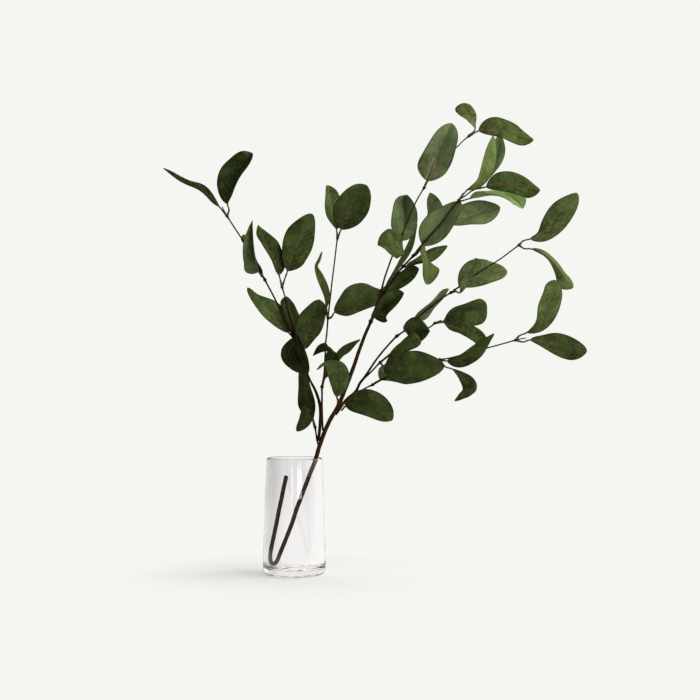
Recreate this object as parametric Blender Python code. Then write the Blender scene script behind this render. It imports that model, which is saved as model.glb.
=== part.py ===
"""Artificial leafy branch standing in a clear glass, in metres, +Z up.

A thick covered wire stem is bent back on itself inside the glass.  Thinner
side stems fork off it, and each carries pairs of cloth leaves on short
moulded stalks.  The origin is the middle of the glass's foot.
"""
import bpy
import bmesh
import math
import numpy as np

# ------------------------------------------------------------ main dimensions
MM = 0.001                       # every table and length below is in mm
GLASS_SIDES = 56                 # facets round the glass
STEM_BEVEL = {"main_stem": 3}    # roundness of the thick stem's section
TWIG_BEVEL = 2                   # roundness of the thinner stems' section

# ---------------------------------------------------------------- front chart
# The branch is laid out on a front chart: u runs right and v runs down in
# chart units, d is the distance in millimetres from the vase axis towards
# the viewer.  The chart is a perspective view from EYE; at() turns a chart
# position into millimetres, with the middle of the vase foot at the origin,
# X to the right, Y away from the viewer and Z up.
CHART_MIDDLE = 350.0
CHART_FOCUS = 1361.1
EYE = (71.5, -1756.0, 249.5)
TILT = math.radians(1.26)


def at(u, v, d):
    x = (u - CHART_MIDDLE) / CHART_FOCUS
    y = (CHART_MIDDLE - v) / CHART_FOCUS
    ray = np.array([x, math.cos(TILT) - y * math.sin(TILT),
                    math.sin(TILT) + y * math.cos(TILT)])
    return np.array(EYE) + ray * ((-d - EYE[1]) / ray[1])


# ------------------------------------------------------------------- the vase
VASE_OUTER = [(0.0, 0.0), (34.5, 0.0), (37.8, 1.2), (39.8, 4.5), (40.5, 10.0),
              (40.4, 20.0), (38.5, 83.0), (36.4, 145.0), (35.9, 148.2)]
VASE_LIP = [(35.4, 149.1), (34.7, 149.3), (34.1, 148.9)]
VASE_INNER = [(33.9, 147.6), (36.2, 83.0), (38.1, 16.0), (37.4, 11.5),
              (34.5, 9.2), (29.0, 8.3), (0.0, 8.0)]

# ------------------------------------------------------------------ the stems
# Each row: u, v, d, radius in millimetres.
MAIN_STEM = [
    (286, 477, -6, 2.70), (283, 491, -6, 2.75), (279, 510, -5, 2.75),
    (275, 530, -5, 2.75), (271.3, 547, -4, 2.75), (270, 557, -4, 2.75),
    (271, 562.5, -3, 2.75), (273.3, 564.8, -3, 2.75), (276.2, 562, -2, 2.75),
    (280, 553.5, -1, 2.75), (285, 541, 0, 2.75), (291, 526, 2, 2.75),
    (297, 508, 4, 2.75), (303, 492, 7, 2.75), (309, 476, 10, 2.75),
    (316, 458, 12, 2.75), (319.5, 446, 13, 2.75), (325, 431, 13, 2.75),
    (330.5, 419, 14, 2.75), (335.5, 411, 14, 2.75), (340, 402, 14, 2.70),
    (346, 387, 13, 2.60), (352.5, 370, 12, 2.50), (359, 351, 12, 2.30),
    (365, 335, 11, 2.10), (371, 321, 10, 1.90), (376, 307, 9, 1.65),
    (380.5, 294, 8, 1.40), (384, 280, 12, 1.15), (388, 268, 16, 1.10),
    (392, 257, 21, 1.05), (397, 246, 25, 1.00), (403, 232, 29, 0.95),
    (408, 220, 32, 0.90), (413.5, 207, 35, 0.90), (418.5, 197, 38, 0.90),
    (424, 188, 42, 0.85), (431, 176, 44, 0.80), (440, 163, 47, 0.80),
    (448, 154, 51, 0.75), (457, 147, 57, 0.75), (463, 141, 63, 0.75),
    (469, 136, 68, 0.75)]

CENTRE_STEM = [
    (380.5, 300, 5.0, 1.30), (386, 289, 1, 1.30), (392, 281, -5, 1.25),
    (398, 272.5, -10, 1.20), (405, 264.5, -15, 1.15), (413, 256, -20, 1.10),
    (420, 247, -24, 1.05), (430, 235.5, -29, 1.00), (440, 224.5, -34, 0.95),
    (450, 211, -39, 0.90), (459, 200, -44, 0.85), (465, 196, -46, 0.80),
    (471, 191.5, -49, 0.80), (478, 188, -52, 0.80)]

CENTRE_TWIG = [
    (409, 260.3, -17.5, 0.90), (417, 253.5, -30, 0.85), (426, 244, -42, 0.80),
    (434, 233, -50, 0.80), (440, 225.5, -55, 0.80)]

LEFT_STEM = [
    (318.5, 440, 16.8, 1.70), (320, 425, 17.5, 1.80), (320.5, 412, 18, 1.80),
    (319, 401, 19, 1.70), (315.5, 391, 20, 1.55), (309, 378, 23, 1.25),
    (304, 364, 26, 1.20), (299, 350, 28, 1.15), (294.5, 338, 30, 1.10),
    (287, 326, 34, 1.05), (281, 312, 38, 1.00), (275, 299, 42, 0.95),
    (265, 280, 48, 0.90), (256, 262, 53, 0.85), (246, 245, 56, 0.80),
    (236, 230, 59, 0.80), (227, 216, 62, 0.80)]
LEFT_BRANCH = [
    (295.5, 341, 29.5, 1.00), (292.5, 326, 31, 0.95), (288, 311, 32, 0.90),
    (285, 297, 33, 0.80), (282, 287, 34, 0.80)]

UPRIGHT_STEM = [
    (322.8, 430, 16, 1.10), (322, 410, 13, 1.10), (322, 395, 10, 1.10),
    (322, 387, 8, 1.10), (324, 375, 2, 1.05), (325, 360, -4, 1.00),
    (325.5, 345, -9, 0.95), (327, 331, -14, 0.95), (328, 318, -18, 0.90),
    (330, 300, -24, 0.90), (332, 282, -31, 0.85), (334.5, 262, -38, 0.80),
    (336.5, 245, -44, 0.80), (337.5, 238, -46, 0.80)]

TWIG_STEM = [
    (318.8, 447, 8.4, 1.00), (317, 440, 6, 1.00), (316, 433, 2, 0.95),
    (315, 427, -2, 0.90)]

RIGHT_STEM = [
    (336, 414, 8.8, 1.60), (343, 404, 6, 1.60), (347, 399, 5, 1.60),
    (356, 391, 4, 1.55), (360, 383, 3, 1.50), (364, 378, 2, 1.45),
    (370, 369, 0, 1.20), (376, 360, -2, 1.15), (384, 350, -4, 1.10),
    (391, 342, -6, 1.05), (397, 336, -8, 1.05), (404, 331, -10, 1.00),
    (413, 322, -13, 1.00), (423, 313, -16, 0.95), (432, 306, -18, 0.95),
    (441, 299, -21, 0.90), (451, 292.5, -24, 0.90), (462, 285, -26, 0.85),
    (470, 279, -28, 0.85), (478, 273, -30, 0.85), (486, 268, -32, 0.80),
    (494, 263, -34, 0.80), (503, 257, -36, 0.80), (511, 251, -38, 0.80),
    (519, 245, -40, 0.80)]
RIGHT_BRANCH = [
    (362.5, 380, 2.2, 1.00), (372, 371, 3.5, 0.95), (380, 362.5, 6, 0.95),
    (390, 354, 5, 0.90), (402, 344, 3, 0.85), (416, 334, 2, 0.80),
    (430, 327, 3, 0.80), (435, 323, 4, 0.80)]

LOWER_STEM = [
    (341.5, 410.5, 3, 0.95), (346, 405.5, 2, 0.95), (352, 400, 2, 0.95),
    (358, 393.5, 3, 0.90), (364, 389, 4, 0.90), (373, 384.5, 6, 0.90),
    (385, 378, 8, 0.85), (400, 370, 10, 0.85), (415, 364, 12, 0.80),
    (430, 361, 14, 0.80), (440, 359.5, 16, 0.80), (450, 358, 18, 0.80),
    (465, 354, 20, 0.75), (487, 348, 24, 0.75), (502, 344, 27, 0.75),
    (516, 340, 30, 0.75)]

# ----------------------------------------------------------------- the leaves
# One row per leaf:
#   name; node on the stem (u, v, d); shaft points (u, v, dd) of the stalk
#   between node and blade; midrib (u, v, dd) from blade base to tip, dd
#   counted from the node; left and right margins (u, v) as seen going from
#   base to tip; full width in chart units; which way each half leans
#   (+1 towards the viewer, -1 away); face turned to the viewer; extras.
LEAVES = [
    # left spray
    ("left_leaf_01", (227, 216, 62), [],
     [(219.5, 207, 1), (210, 197, 2), (200, 189, 3), (188, 182.5, 3), (175, 175, 2), (163, 168, 0)],
     [(212, 202), (200, 191), (188, 185), (178, 179.5)],
     [(214, 197), (206, 187), (195, 181), (183, 177)], 33, (-1, -1), "top", {}),
    ("left_leaf_02", (227, 216, 62), [(229, 210, 1)],
     [(227.5, 204, 2), (231, 190, 3), (238, 174, 3), (247, 160, 2), (252, 153, 0)],
     [(219, 195), (217, 180), (222, 166), (232, 157), (243, 151)],
     [(231.5, 195), (239, 180.5), (247.3, 166)], 37, (-1, 1), "top", {}),
    ("left_leaf_03", (265, 280, 48), [(262, 276, 3)],
     [(259, 272, 5), (255.8, 259, 9), (253.5, 243, 14), (252.7, 220, 16)],
     [(250, 276.5), (246.6, 273), (244.4, 264), (243, 252), (243.2, 243), (246.2, 232.5)],
     [(257, 262), (254, 250), (252.5, 225)], 30, (1, 1), "top", {"ab": (0.45, 0.9)}),
    ("left_leaf_04", (265, 280, 48), [],
     [(262, 275, -6), (254.5, 262, -14), (249, 248, -24), (244.5, 234.5, -34)],
     [(252.5, 266), (245.5, 250), (242, 240)],
     [(258, 262), (252, 246), (247, 236)], 22, (1, -1), "top", {}),
    ("left_leaf_05", (282, 287, 34), [],
     [(279, 275, 4), (273, 258, 9), (266, 243, 14), (257.8, 224.8, 16)],
     [(275, 268), (267.5, 254), (260.5, 240), (255.8, 230)],
     [(285.5, 266), (283.5, 253), (278.5, 242.5), (268, 233), (261.5, 226.5)], 34, (1, -1), "top", {"ab": (0.5, 0.95)}),
    ("left_leaf_06", (282, 287, 34), [],
     [(287.5, 271, 0), (293, 255, -4), (301, 238, -8), (312.5, 214, -10)],
     [(281.5, 258), (282, 243), (287, 230), (298, 220)],
     [(297, 269), (307, 258), (314, 243), (316, 228)], 34, (1, -1), "top", {}),
    ("left_leaf_07", (294.5, 339, 30), [],
     [(289, 333, -5), (276, 318, -8), (262, 303, -8), (247.5, 287.5, -6)],
     [(282, 331.5), (270, 322), (258, 309.5), (250, 299)],
     [(288, 318), (280, 304.5), (268, 297), (256, 293)], 30, (1, -1), "top", {}),
    ("left_leaf_08", (301, 353, 27), [],
     [(297, 338, -8), (294, 324, -14), (290, 309, -22), (287, 296.5, -30)],
     [(289, 328), (284, 315), (281, 305)],
     [(304, 328), (300, 313), (293, 301)], 28, (1, -1), "top", {}),
    ("left_leaf_09", (301, 353, 27), [],
     [(304, 349, -2), (307, 333, -2), (312, 316, 1), (319.5, 299.5, 5)],
     [(297, 338), (296, 327), (299, 315), (308, 304.5)],
     [(312, 342.5), (320, 333.5), (325.5, 316), (325, 304)], 34, (1, -1), "top", {}),
    ("left_leaf_10", (294.5, 339, 30), [],
     [(296.5, 336, 8), (298, 348, 14), (303, 361, 20), (308.5, 373, 23)],
     [(302, 345), (306, 354), (310.5, 366)],
     [(288, 341), (280.5, 352), (283, 362), (292, 369.5), (301, 373)], 33, (1, -1), "top", {}),
    # little twig low on the left
    ("twig_leaf_01", (315, 427, -2), [],
     [(313, 418, -3), (309.5, 405, -6), (305, 388, -10), (302, 366, -14)],
     [(304, 414.5), (298, 405), (297, 396), (298.5, 380)],
     [(315, 411), (315.5, 403), (311.5, 389), (306, 374)], 26, (-1, 1), "top", {}),
    ("twig_leaf_02", (315, 427, -2), [],
     [(312.5, 420, 4), (311.3, 412, 9), (309.2, 408, 15), (307.4, 414, 21), (304.4, 421.5, 23), (296.6, 431.2, 23)],
     [], [], 14, (1, 1), "under", {"carry": True, "angles": [(0, -50, 50), (1, -50, 50)]}),
    # upright spray
    ("upright_leaf_01", (337.5, 238, -46), [],
     [(336.5, 229.5, -4), (332.5, 216, -10), (330, 201, -18), (328, 185.5, -26)],
     [(331, 225), (326.5, 213), (325.8, 200)],
     [(343, 220), (341, 205), (336, 189)], 28, (1, -1), "under", {}),
    ("upright_leaf_02", (337.5, 238, -46), [],
     [(341, 229.5, 3), (347, 215.5, 6), (354, 200.5, 9), (367, 185.5, 10)],
     [(334.5, 221), (333.5, 207), (342, 193), (354, 185.5)],
     [(352, 228), (364, 218.5), (370.5, 204), (370.5, 192)], 38, (1, 1), "top", {}),
    ("upright_leaf_03", (328, 318, -18), [],
     [(326.5, 309, 4), (326, 295, 6.5), (320, 277, 7.5), (315.5, 266, 7), (318.5, 258, 6), (322, 251.5, 4)],
     [(325, 303), (321.5, 288), (315.5, 275), (315, 268), (318, 258)],
     [(329, 303), (328.5, 290), (323.5, 274), (318.5, 264), (321.5, 258)], 28, (1, -1), "top", {}),
    ("upright_leaf_04", (328, 318, -18), [(331, 317.5, 0)],
     [(334.5, 312.5, 0), (349, 304, -1), (366, 296, -4), (386, 291.5, -9)],
     [(338, 301), (346, 288), (360, 282), (372, 284), (380, 289)],
     [(343, 316), (355, 313.5), (370, 308), (380, 302)], 34, (-1, 1), "top", {"ab": (0.65, 0.5)}),
    ("upright_leaf_05", (322, 387, 8), [],
     [(325, 377, 5), (329.5, 364, 12), (333.8, 353, 20), (329.6, 347, 27), (320.6, 348.8, 31), (312.8, 355.8, 30)],
     [], [], 25, (1, 1), "under", {"carry": True, "angles": [(0, -60, 55), (1, -50, 50)], "ab": (0.6, 0.8)}),
    ("upright_leaf_06", (322, 387, 8), [],
     [(326, 376, -5), (337, 363, -9), (348, 350.5, -12), (360.5, 339.5, -14)],
     [(339, 350), (348, 343.5), (356, 340)],
     [(339, 359), (349, 352), (357, 344)], 24, (-1, 1), "top", {}),
    # on the main stem
    ("main_leaf_01", (340, 403, 14), [],
     [(336.8, 397, 6), (338.5, 386, 10), (338.5, 374, 16), (334, 364.5, 24), (325.5, 363.5, 30), (316.5, 370, 31)],
     [], [], 26, (1, 1), "top", {"carry": True, "angles": [(0, -30, 30), (1, -30, 30)]}),
    ("main_leaf_02", (340, 403, 14), [],
     [(345, 403.5, 5), (360, 404, 12), (377, 409, 18), (392.5, 420, 20)],
     [(351, 394.5), (364, 389), (380, 393), (391, 405)],
     [(352, 410), (365, 416), (380, 420.5), (389, 421.5)], 34, (-1, 1), "top", {}),
    ("main_leaf_03", (371, 321, 10), [],
     [(373.8, 317.4, 5), (384, 307, 16), (394, 300, 27), (404, 293, 34)],
     [(379, 305), (385, 296), (394, 288.5), (401, 289.5)],
     [(383, 322.8), (387, 321.4), (389.9, 314.5), (397, 306), (402.8, 298)], 28, (1, 1), "top",
     {"ab": (0.48, 0.62), "wave": 0.2}),
    ("main_leaf_04", (381.5, 291, 9), [],
     [(384, 291, -17), (395, 283.5, -29), (407, 276, -39), (419, 269, -48)],
     [(389, 280.5), (399, 272), (411, 266)],
     [(393, 290.5), (403, 287.5), (413, 280.5)], 24, (1, -1), "top", {}),
    ("main_leaf_05", (381.5, 291, 9), [],
     [(385, 287, 3), (397, 268, 1.8), (408, 248, -0.4), (417, 224, -0.6)],
     [(390, 277), (400, 258), (410, 239.5)],
     [(395, 276), (407, 258), (414.5, 240)], 28, (-1, 1), "top", {}),
    ("main_leaf_06", (396, 248, 24), [],
     [(402, 240.5, -6), (404, 226, -12), (405, 211, -20), (404, 195.5, -28)],
     [(393, 232), (391, 221), (394.5, 207), (400, 197.5)],
     [(411, 238), (416.5, 226), (415, 211), (409.5, 200)], 33, (1, 1), "top", {}),
    ("main_leaf_07", (396, 248, 24), [(394.5, 241, 3), (393.3, 235, 7)],
     [(392.4, 232.3, 12), (391.5, 240, 24), (392.5, 249, 38), (396.6, 258.7, 50)],
     [(400.8, 234), (402.2, 240), (402.8, 246), (402.9, 251.5), (400.8, 256.3)],
     [(384.6, 237.6), (380, 240.5), (377.3, 245.2), (378.6, 250.2), (384.3, 254.2), (390.5, 257.2)], 29,
     (-1, 1), "top", {"ab": (0.55, 0.45)}),
    ("main_leaf_08", (469, 136, 68), [],
     [(475, 129.5, -5), (471.5, 121.5, -14), (467, 113, -25), (462.2, 103.3, -36)],
     [(467.5, 122.5), (461, 117.5), (455.5, 111)],
     [(474.5, 120), (474.5, 112.5), (472.5, 105.5)], 20, (1, -1), "under", {"ab": (1.0, 0.32), "turn": 0.17}),
    ("main_leaf_09", (469, 136, 68), [],
     [(478.5, 131, 2), (490, 129, 4), (503, 130, 6), (516, 134, 8), (533.5, 140, 8)],
     [(485, 120), (494, 117), (506, 119.5), (517.5, 126), (526, 134)],
     [(480, 133), (490, 135.5), (505, 138.7), (515, 143), (525, 145.5)], 27, (-1, 1), "top", {}),
    ("main_leaf_10", (424, 188, 42), [],
     [(427, 181, 5), (433, 165, 11), (441, 147, 15), (452, 123.5, 16)],
     [(420, 174), (421, 156), (432, 138), (445, 125.5)],
     [(440, 178), (450, 166), (456, 148), (457.5, 133)], 36, (1, 1), "top", {}),
    # centre spray
    ("centre_leaf_01", (440, 225.5, -55), [],
     [(436.5, 221.5, -4), (433, 213, -13), (431, 204, -25), (428.5, 195.5, -36)],
     [(426.3, 216), (426.2, 206), (426.4, 197)],
     [(443, 214), (438.5, 205), (431.5, 197)], 26, (-1, 1), "top", {}),
    ("centre_leaf_02", (414.5, 256.5, -20), [],
     [(423, 246, -8), (433, 234, -16), (446, 218.5, -22), (460, 201.5, -29)],
     [(419, 236), (424, 219), (437, 207.5), (450, 201.5)],
     [(433, 246), (444, 238.5), (453, 225.5), (460, 212)], 32, (-1, 1), "top", {}),
    ("centre_leaf_03", (440, 225.5, -55), [],
     [(447, 223, -2), (463, 218.5, -6), (481, 213.5, -10), (500, 207, -12)],
     [(452, 212), (466, 203), (480, 200), (494, 203)],
     [(455, 226), (468, 225.5), (484, 224), (496, 217)], 27, (-1, 1), "top", {}),
    ("centre_leaf_04", (414.5, 256.5, -20), [],
     [(422.8, 245.5, 6), (425, 257, 18), (426.5, 270, 31), (425.5, 284, 42)],
     [(427, 253), (435, 260), (440, 268), (433, 278)],
     [(422, 257), (422, 268), (422.6, 279)], 29, (-1, 1), "under", {}),
    ("centre_leaf_05", (403.5, 267, -14), [],
     [(407, 266, -4), (420, 260, -12), (434, 253, -19), (447, 245.5, -25)],
     [(414, 259.5), (425, 252.5), (436, 246.5)],
     [(414, 266), (426, 264.5), (439, 255)], 24, (-1, 1), "top", {}),
    ("centre_leaf_06", (459, 200, -44), [],
     [(467, 190, 4), (477, 180, 7), (485, 162, 9), (493, 135.5, 8)],
     [(472, 185.5), (479.5, 170), (487, 149)],
     [(481, 187.5), (491, 176), (496.5, 158), (497, 146)], 28, (1, -1), "under", {}),
    ("centre_leaf_07", (478, 188, -52), [],
     [(482, 184, -3), (491, 170, -8), (498, 153, -14), (501, 133, -20)],
     [(483, 172), (488, 155), (494, 140)],
     [(491, 178), (500, 166), (504.5, 150), (503, 140)], 22, (-1, 1), "top", {}),
    ("centre_leaf_08", (478, 188, -52), [(481, 188, 1)],
     [(486, 187, 3), (503, 184, 5), (522, 184.5, 8), (540, 190.5, 10)],
     [(491, 177), (506, 171), (523, 176.5), (535, 184.5)],
     [(492, 190), (508, 191.5), (523, 197), (535, 196)], 30, (-1, 1), "top", {}),
    ("centre_leaf_09", (459, 200, -44), [(460, 201, -3)],
     [(470, 198.5, -10), (487, 194.2, -16), (504, 195.2, -21), (517, 200.5, -24), (523, 208.5, -22)],
     [(474, 193.5), (487, 191.3), (504, 189), (517.5, 189.8), (524, 194.5), (526.3, 201)],
     [(480, 197), (496, 196.8), (509, 200.8), (517, 206.5)], 24, (-1, 1), "top", {"turn": 0.30}),
    # right spray
    ("right_leaf_01", (451, 292.5, -24), [],
     [(459, 287, -6), (473, 279.5, -12), (489, 274, -20), (507, 271, -26)],
     [(457, 276), (466, 262.5), (480, 258.7), (495, 262)],
     [(467, 288.5), (480, 286.5), (494, 281.5), (504, 275.5)], 30, (-1, 1), "top", {}),
    ("right_leaf_02", (451, 292.5, -24), [(456, 291.5, 4)],
     [(459.7, 293, 8), (465, 281, 16), (471, 269.5, 25), (476.5, 258, 34)],
     [(460.5, 284), (465, 272), (470.5, 260.5)],
     [(464, 291), (472, 280), (480, 268), (480.5, 262)], 21, (1, -1), "top", {"ab": (0.65, 0.45)}),
    ("right_leaf_03", (415, 320.3, -13.5), [],
     [(413, 320, -5), (425, 311, -9), (438, 299.5, -13), (449, 289, -17)],
     [(419, 312), (430, 302), (441, 292)],
     [(424, 320), (432, 314), (438, 304), (446, 294.5)], 24, (1, -1), "top", {}),
    ("right_leaf_04", (397, 336, -8), [],
     [(405, 331, 14), (413, 328.5, 24), (422, 328, 35), (430, 331, 45)],
     [(409, 323), (418, 317), (426, 321.5)],
     [(409, 339), (418, 342), (427, 338)], 26, (1, -1), "top", {}),
    ("right_leaf_05", (380, 362.5, 6), [],
     [(388, 356.5, 10), (397, 349, 22), (408, 343, 36), (421, 343.5, 48)],
     [(391, 350), (402, 339.5), (411, 331.5), (418, 337)],
     [(395, 356), (404, 353), (416, 349.5)], 26, (-1, 1), "top", {}),
    ("right_leaf_06", (380, 362.5, 6), [],
     [(384.5, 366.5, 9), (404, 367, 16), (425, 366.5, 20), (444.5, 366, 22)],
     [(389, 356), (403, 352), (418, 350.5), (434, 356.5)],
     [(388, 377), (403, 384.3), (414, 383.4), (424, 381), (436, 375.2)], 33, (1, 1), "top", {"ab": (0.5, 0.6), "wave": 0.4}),
    ("right_leaf_07", (435, 323, 4), [],
     [(443.5, 321, -7), (456, 314.5, -18), (470, 310.5, -29), (487, 309.5, -38)],
     [(448, 311), (458, 305.5), (470, 301), (481, 299.5)],
     [(456, 322), (470, 326), (480, 324.5), (488.5, 317)], 28, (1, -1), "top", {"ab": (0.6, 0.4)}),
    ("right_leaf_08", (435, 323, 4), [],
     [(443.5, 322.5, 0), (451, 326, -2), (460, 328.5, -5), (472, 333, -9), (487.5, 340, -13)],
     [(452, 312), (460, 309.5), (467, 317), (474, 325.5), (483, 332)],
     [(451, 330.5), (462, 336), (471, 339.7), (478, 344)], 32, (-1, 1), "top", {}),
    ("right_leaf_09", (519, 245, -40), [(523, 241, 1)],
     [(530, 239, 2), (541, 234.5, 2), (551, 224, 1), (562, 210, 0), (577, 193, -4)],
     [(536, 234), (542.5, 220), (550, 207.5), (562.5, 196), (571, 193)],
     [(540, 242.5), (552.5, 239), (565, 227.5), (575, 212.5), (578.5, 199)], 29, (-1, 1), "top", {}),
    ("right_leaf_10", (519, 245, -40), [(524, 248.5, 0)],
     [(531, 249, 1), (546, 256, 3), (558, 268, 5), (566, 279, 6), (573, 288, 6)],
     [(538, 248), (552, 257.5), (563, 270), (573, 282)],
     [(540, 253.5), (550, 264), (557, 278), (562, 290)], 24, (-1, -1), "top", {}),
    # lower right spray
    ("lower_leaf_01", (373, 384.5, 6), [],
     [(380, 380, -4), (391, 375, -10), (405, 371, -18), (421, 371, -26)],
     [(378, 372), (384, 365), (394, 360), (408, 358)],
     [(381, 381), (390, 383.2), (400, 383.7), (412, 382)], 27, (-1, 1), "top", {"ab": (0.5, 0.7), "wave": 0.3}),
    ("lower_leaf_02", (440, 359.5, 16), [],
     [(447, 361, 8), (461, 359, 14), (476, 350, 20), (494, 333.5, 24)],
     [(455, 357), (464, 351.5), (475, 344.5), (487, 337)],
     [(455, 367.5), (468, 366), (481, 356), (489, 344)], 26, (1, -1), "top", {}),
    ("lower_leaf_03", (440, 359.5, 16), [(445, 366.5, 0)],
     [(452, 369, 3), (461.5, 377, 10), (467.5, 386, 17), (465, 394.2, 23), (454.8, 401.2, 27)],
     [(458, 370.5), (468, 376.5), (476, 385.5), (476.5, 393), (469, 398), (461, 400.4)],
     [(455, 373.8), (459.5, 380.5), (460.6, 387), (459.9, 393), (457.8, 397.5)], 23, (1, -1), "top", {}),
    ("lower_leaf_04", (516, 340, 30), [(519, 336, 1)],
     [(527, 332.5, 3), (541, 320, 6), (550, 302, 8), (555, 280, 8)],
     [(534, 324), (538, 308), (544, 290), (549, 281.5)],
     [(538, 333), (552, 322), (561, 304), (561, 287)], 28, (1, -1), "top", {}),
    ("lower_leaf_05", (516, 340, 30), [(523, 342, 0)],
     [(530, 340, 1), (548, 343, 2), (567, 347, 2), (587, 351, 0)],
     [(537, 336), (556, 333), (573, 337.5), (584, 344.5)],
     [(539, 346), (552, 353), (566, 359.5), (578, 359)], 27, (-1, 1), "top", {}),
]


# ------------------------------------------------------------------- geometry
def dense_path(points, dense=16):
    """Smooth curve through the points; every dense-th sample is a given one."""
    p = np.asarray(points, float)
    q = np.vstack([2 * p[0] - p[1], p, 2 * p[-1] - p[-2]])
    gap = np.linalg.norm(np.diff(q[:, :3], axis=0), axis=1)
    step = np.maximum(gap, 1e-6) ** 0.5
    out = []
    for i in range(1, len(q) - 2):
        t1 = step[i - 1]
        t2 = t1 + step[i]
        t3 = t2 + step[i + 1]
        for t in np.linspace(t1, t2, dense, endpoint=False):
            a1 = ((t1 - t) * q[i - 1] + t * q[i]) / t1
            a2 = ((t2 - t) * q[i] + (t - t1) * q[i + 1]) / (t2 - t1)
            a3 = ((t3 - t) * q[i + 1] + (t - t2) * q[i + 2]) / (t3 - t2)
            b1 = ((t2 - t) * a1 + t * a2) / t2
            b2 = ((t3 - t) * a2 + (t - t1) * a3) / (t3 - t1)
            out.append(((t2 - t) * b1 + (t - t1) * b2) / (t2 - t1))
    out.append(q[-2])
    return np.array(out)


def lengths(c):
    return np.concatenate([[0.0], np.cumsum(np.linalg.norm(np.diff(c[:, :3], axis=0), axis=1))])


def sample(c, where):
    """Values of the curve at the given distances along it."""
    run = lengths(c)
    return np.stack([np.interp(where, run, c[:, k]) for k in range(c.shape[1])], axis=1)


def unit(a):
    return a / np.maximum(np.linalg.norm(a, axis=-1, keepdims=True), 1e-12)


def ramp(x, xs, ys):
    """Smooth interpolation without overshoot, flat beyond both ends."""
    if len(xs) == 1:
        return ys[0]
    h = np.diff(xs)
    s = np.diff(ys) / h
    m = np.zeros(len(xs))
    for i in range(1, len(xs) - 1):
        if s[i - 1] * s[i] > 0:
            w1 = 2 * h[i] + h[i - 1]
            w2 = h[i] + 2 * h[i - 1]
            m[i] = (w1 + w2) / (w1 / s[i - 1] + w2 / s[i])
    x = min(max(x, xs[0]), xs[-1])
    i = int(min(max(np.searchsorted(xs, x, side="right") - 1, 0), len(h) - 1))
    t = (x - xs[i]) / h[i]
    return ((2 * t ** 3 - 3 * t ** 2 + 1) * ys[i] + (t ** 3 - 2 * t ** 2 + t) * h[i] * m[i]
            + (3 * t ** 2 - 2 * t ** 3) * ys[i + 1] + (t ** 3 - t ** 2) * h[i] * m[i + 1])


def outline(t, a, b):
    """Half width of a blade along its length, 1 at the widest place."""
    peak = a / (a + b)
    t = min(max(t, 0.0), 1.0)
    return (t / peak) ** a * ((1 - t) / (1 - peak)) ** b


def to_chart(p):
    q = np.asarray(p, float) - np.array(EYE)
    depth = q[1] * math.cos(TILT) + q[2] * math.sin(TILT)
    rise = q[2] * math.cos(TILT) - q[1] * math.sin(TILT)
    return np.array([CHART_MIDDLE + CHART_FOCUS * q[0] / depth,
                     CHART_MIDDLE - CHART_FOCUS * rise / depth])


def even_out(ts, values):
    """Values at 41 places along the blade, with abrupt changes softened."""
    raw = np.array([ramp(k / 40.0, ts, values) for k in range(41)])
    pad = np.concatenate([np.full(6, raw[0]), raw, np.full(6, raw[-1])])
    bell = np.exp(-0.5 * (np.arange(-6, 7) / 2.4) ** 2)
    return np.convolve(pad, bell / bell.sum(), mode="valid")


def half_blade(points, chart, tang, full_width, a, b, side, sign):
    """Lean and spread of one half of a blade from the run of its margin."""
    found = []
    last = len(chart) - 1
    for u, v in points:
        gap = np.array([u, v]) - chart
        along = np.abs(np.sum(gap * tang, axis=1))
        away = np.linalg.norm(gap, axis=1)
        i = int(np.argmin(along + 0.15 * away))
        across = tang[i][1] * gap[i][0] - tang[i][0] * gap[i][1]
        t = i / last
        ratio = side * across / (max(outline(t, a, b), 0.25) * full_width / 2.0)
        found.append((t, min(max(ratio, -1.0), 1.5)))
    found.sort()
    kept = [found[0]]
    for row in found[1:]:
        if row[0] - kept[-1][0] > 0.04:
            kept.append(row)
    ratio = even_out([k[0] for k in kept], [k[1] for k in kept])
    return np.arccos(np.clip(ratio, -1.0, 1.0)) * sign, np.maximum(ratio, 1.0)


def leaf_setup(leaf):
    """Stalk, midrib, lean tables and width of one leaf."""
    name, node, shaft, rib, left, right, width, lean, face, more = leaf
    depth = node[2]
    points = [at(*node)] + [at(u, v, depth + dd) for u, v, dd in shaft + rib]
    path = dense_path(points)
    cut = 16 * (1 + len(shaft))
    stalk, blade = path[:cut + 1], path[cut:]
    total = lengths(blade)[-1]
    blade = sample(blade, np.linspace(0.0, total, 121))
    a, b = more.get("ab", (0.70, 0.62))
    if "angles" in more:
        ts = [k[0] for k in more["angles"]]
        halves = [(even_out(ts, [math.radians(k[j]) for k in more["angles"]]), np.ones(41))
                  for j in (1, 2)]
    else:
        chart = np.array([to_chart(p) for p in blade])
        tang = unit(np.gradient(chart, axis=0))
        halves = [half_blade(left, chart, tang, width, a, b, 1, lean[0]),
                  half_blade(right, chart, tang, width, a, b, -1, lean[1])]
    tangent = unit(np.gradient(blade, axis=0))
    sight = unit(np.array(EYE) - blade)
    up = sight - np.sum(sight * tangent, axis=1)[:, None] * tangent
    if more.get("carry"):
        for i in range(1, len(up)):
            up[i] = up[i - 1] - np.dot(up[i - 1], tangent[i]) * tangent[i]
            up[i] /= np.linalg.norm(up[i])
    up = unit(up)
    half = width * (-EYE[1] - depth - rib[len(rib) // 2][2]) / CHART_FOCUS / 2.0
    return {"name": name, "stalk": stalk, "blade": blade, "tangent": tangent,
            "up": up, "side": np.cross(up, tangent), "half": half, "ab": (a, b),
            "halves": halves, "face": face, "more": more,
            "phase": sum(ord(ch) * (k + 3) for k, ch in enumerate(name)) % 97}


CURL = math.radians(12)


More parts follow.
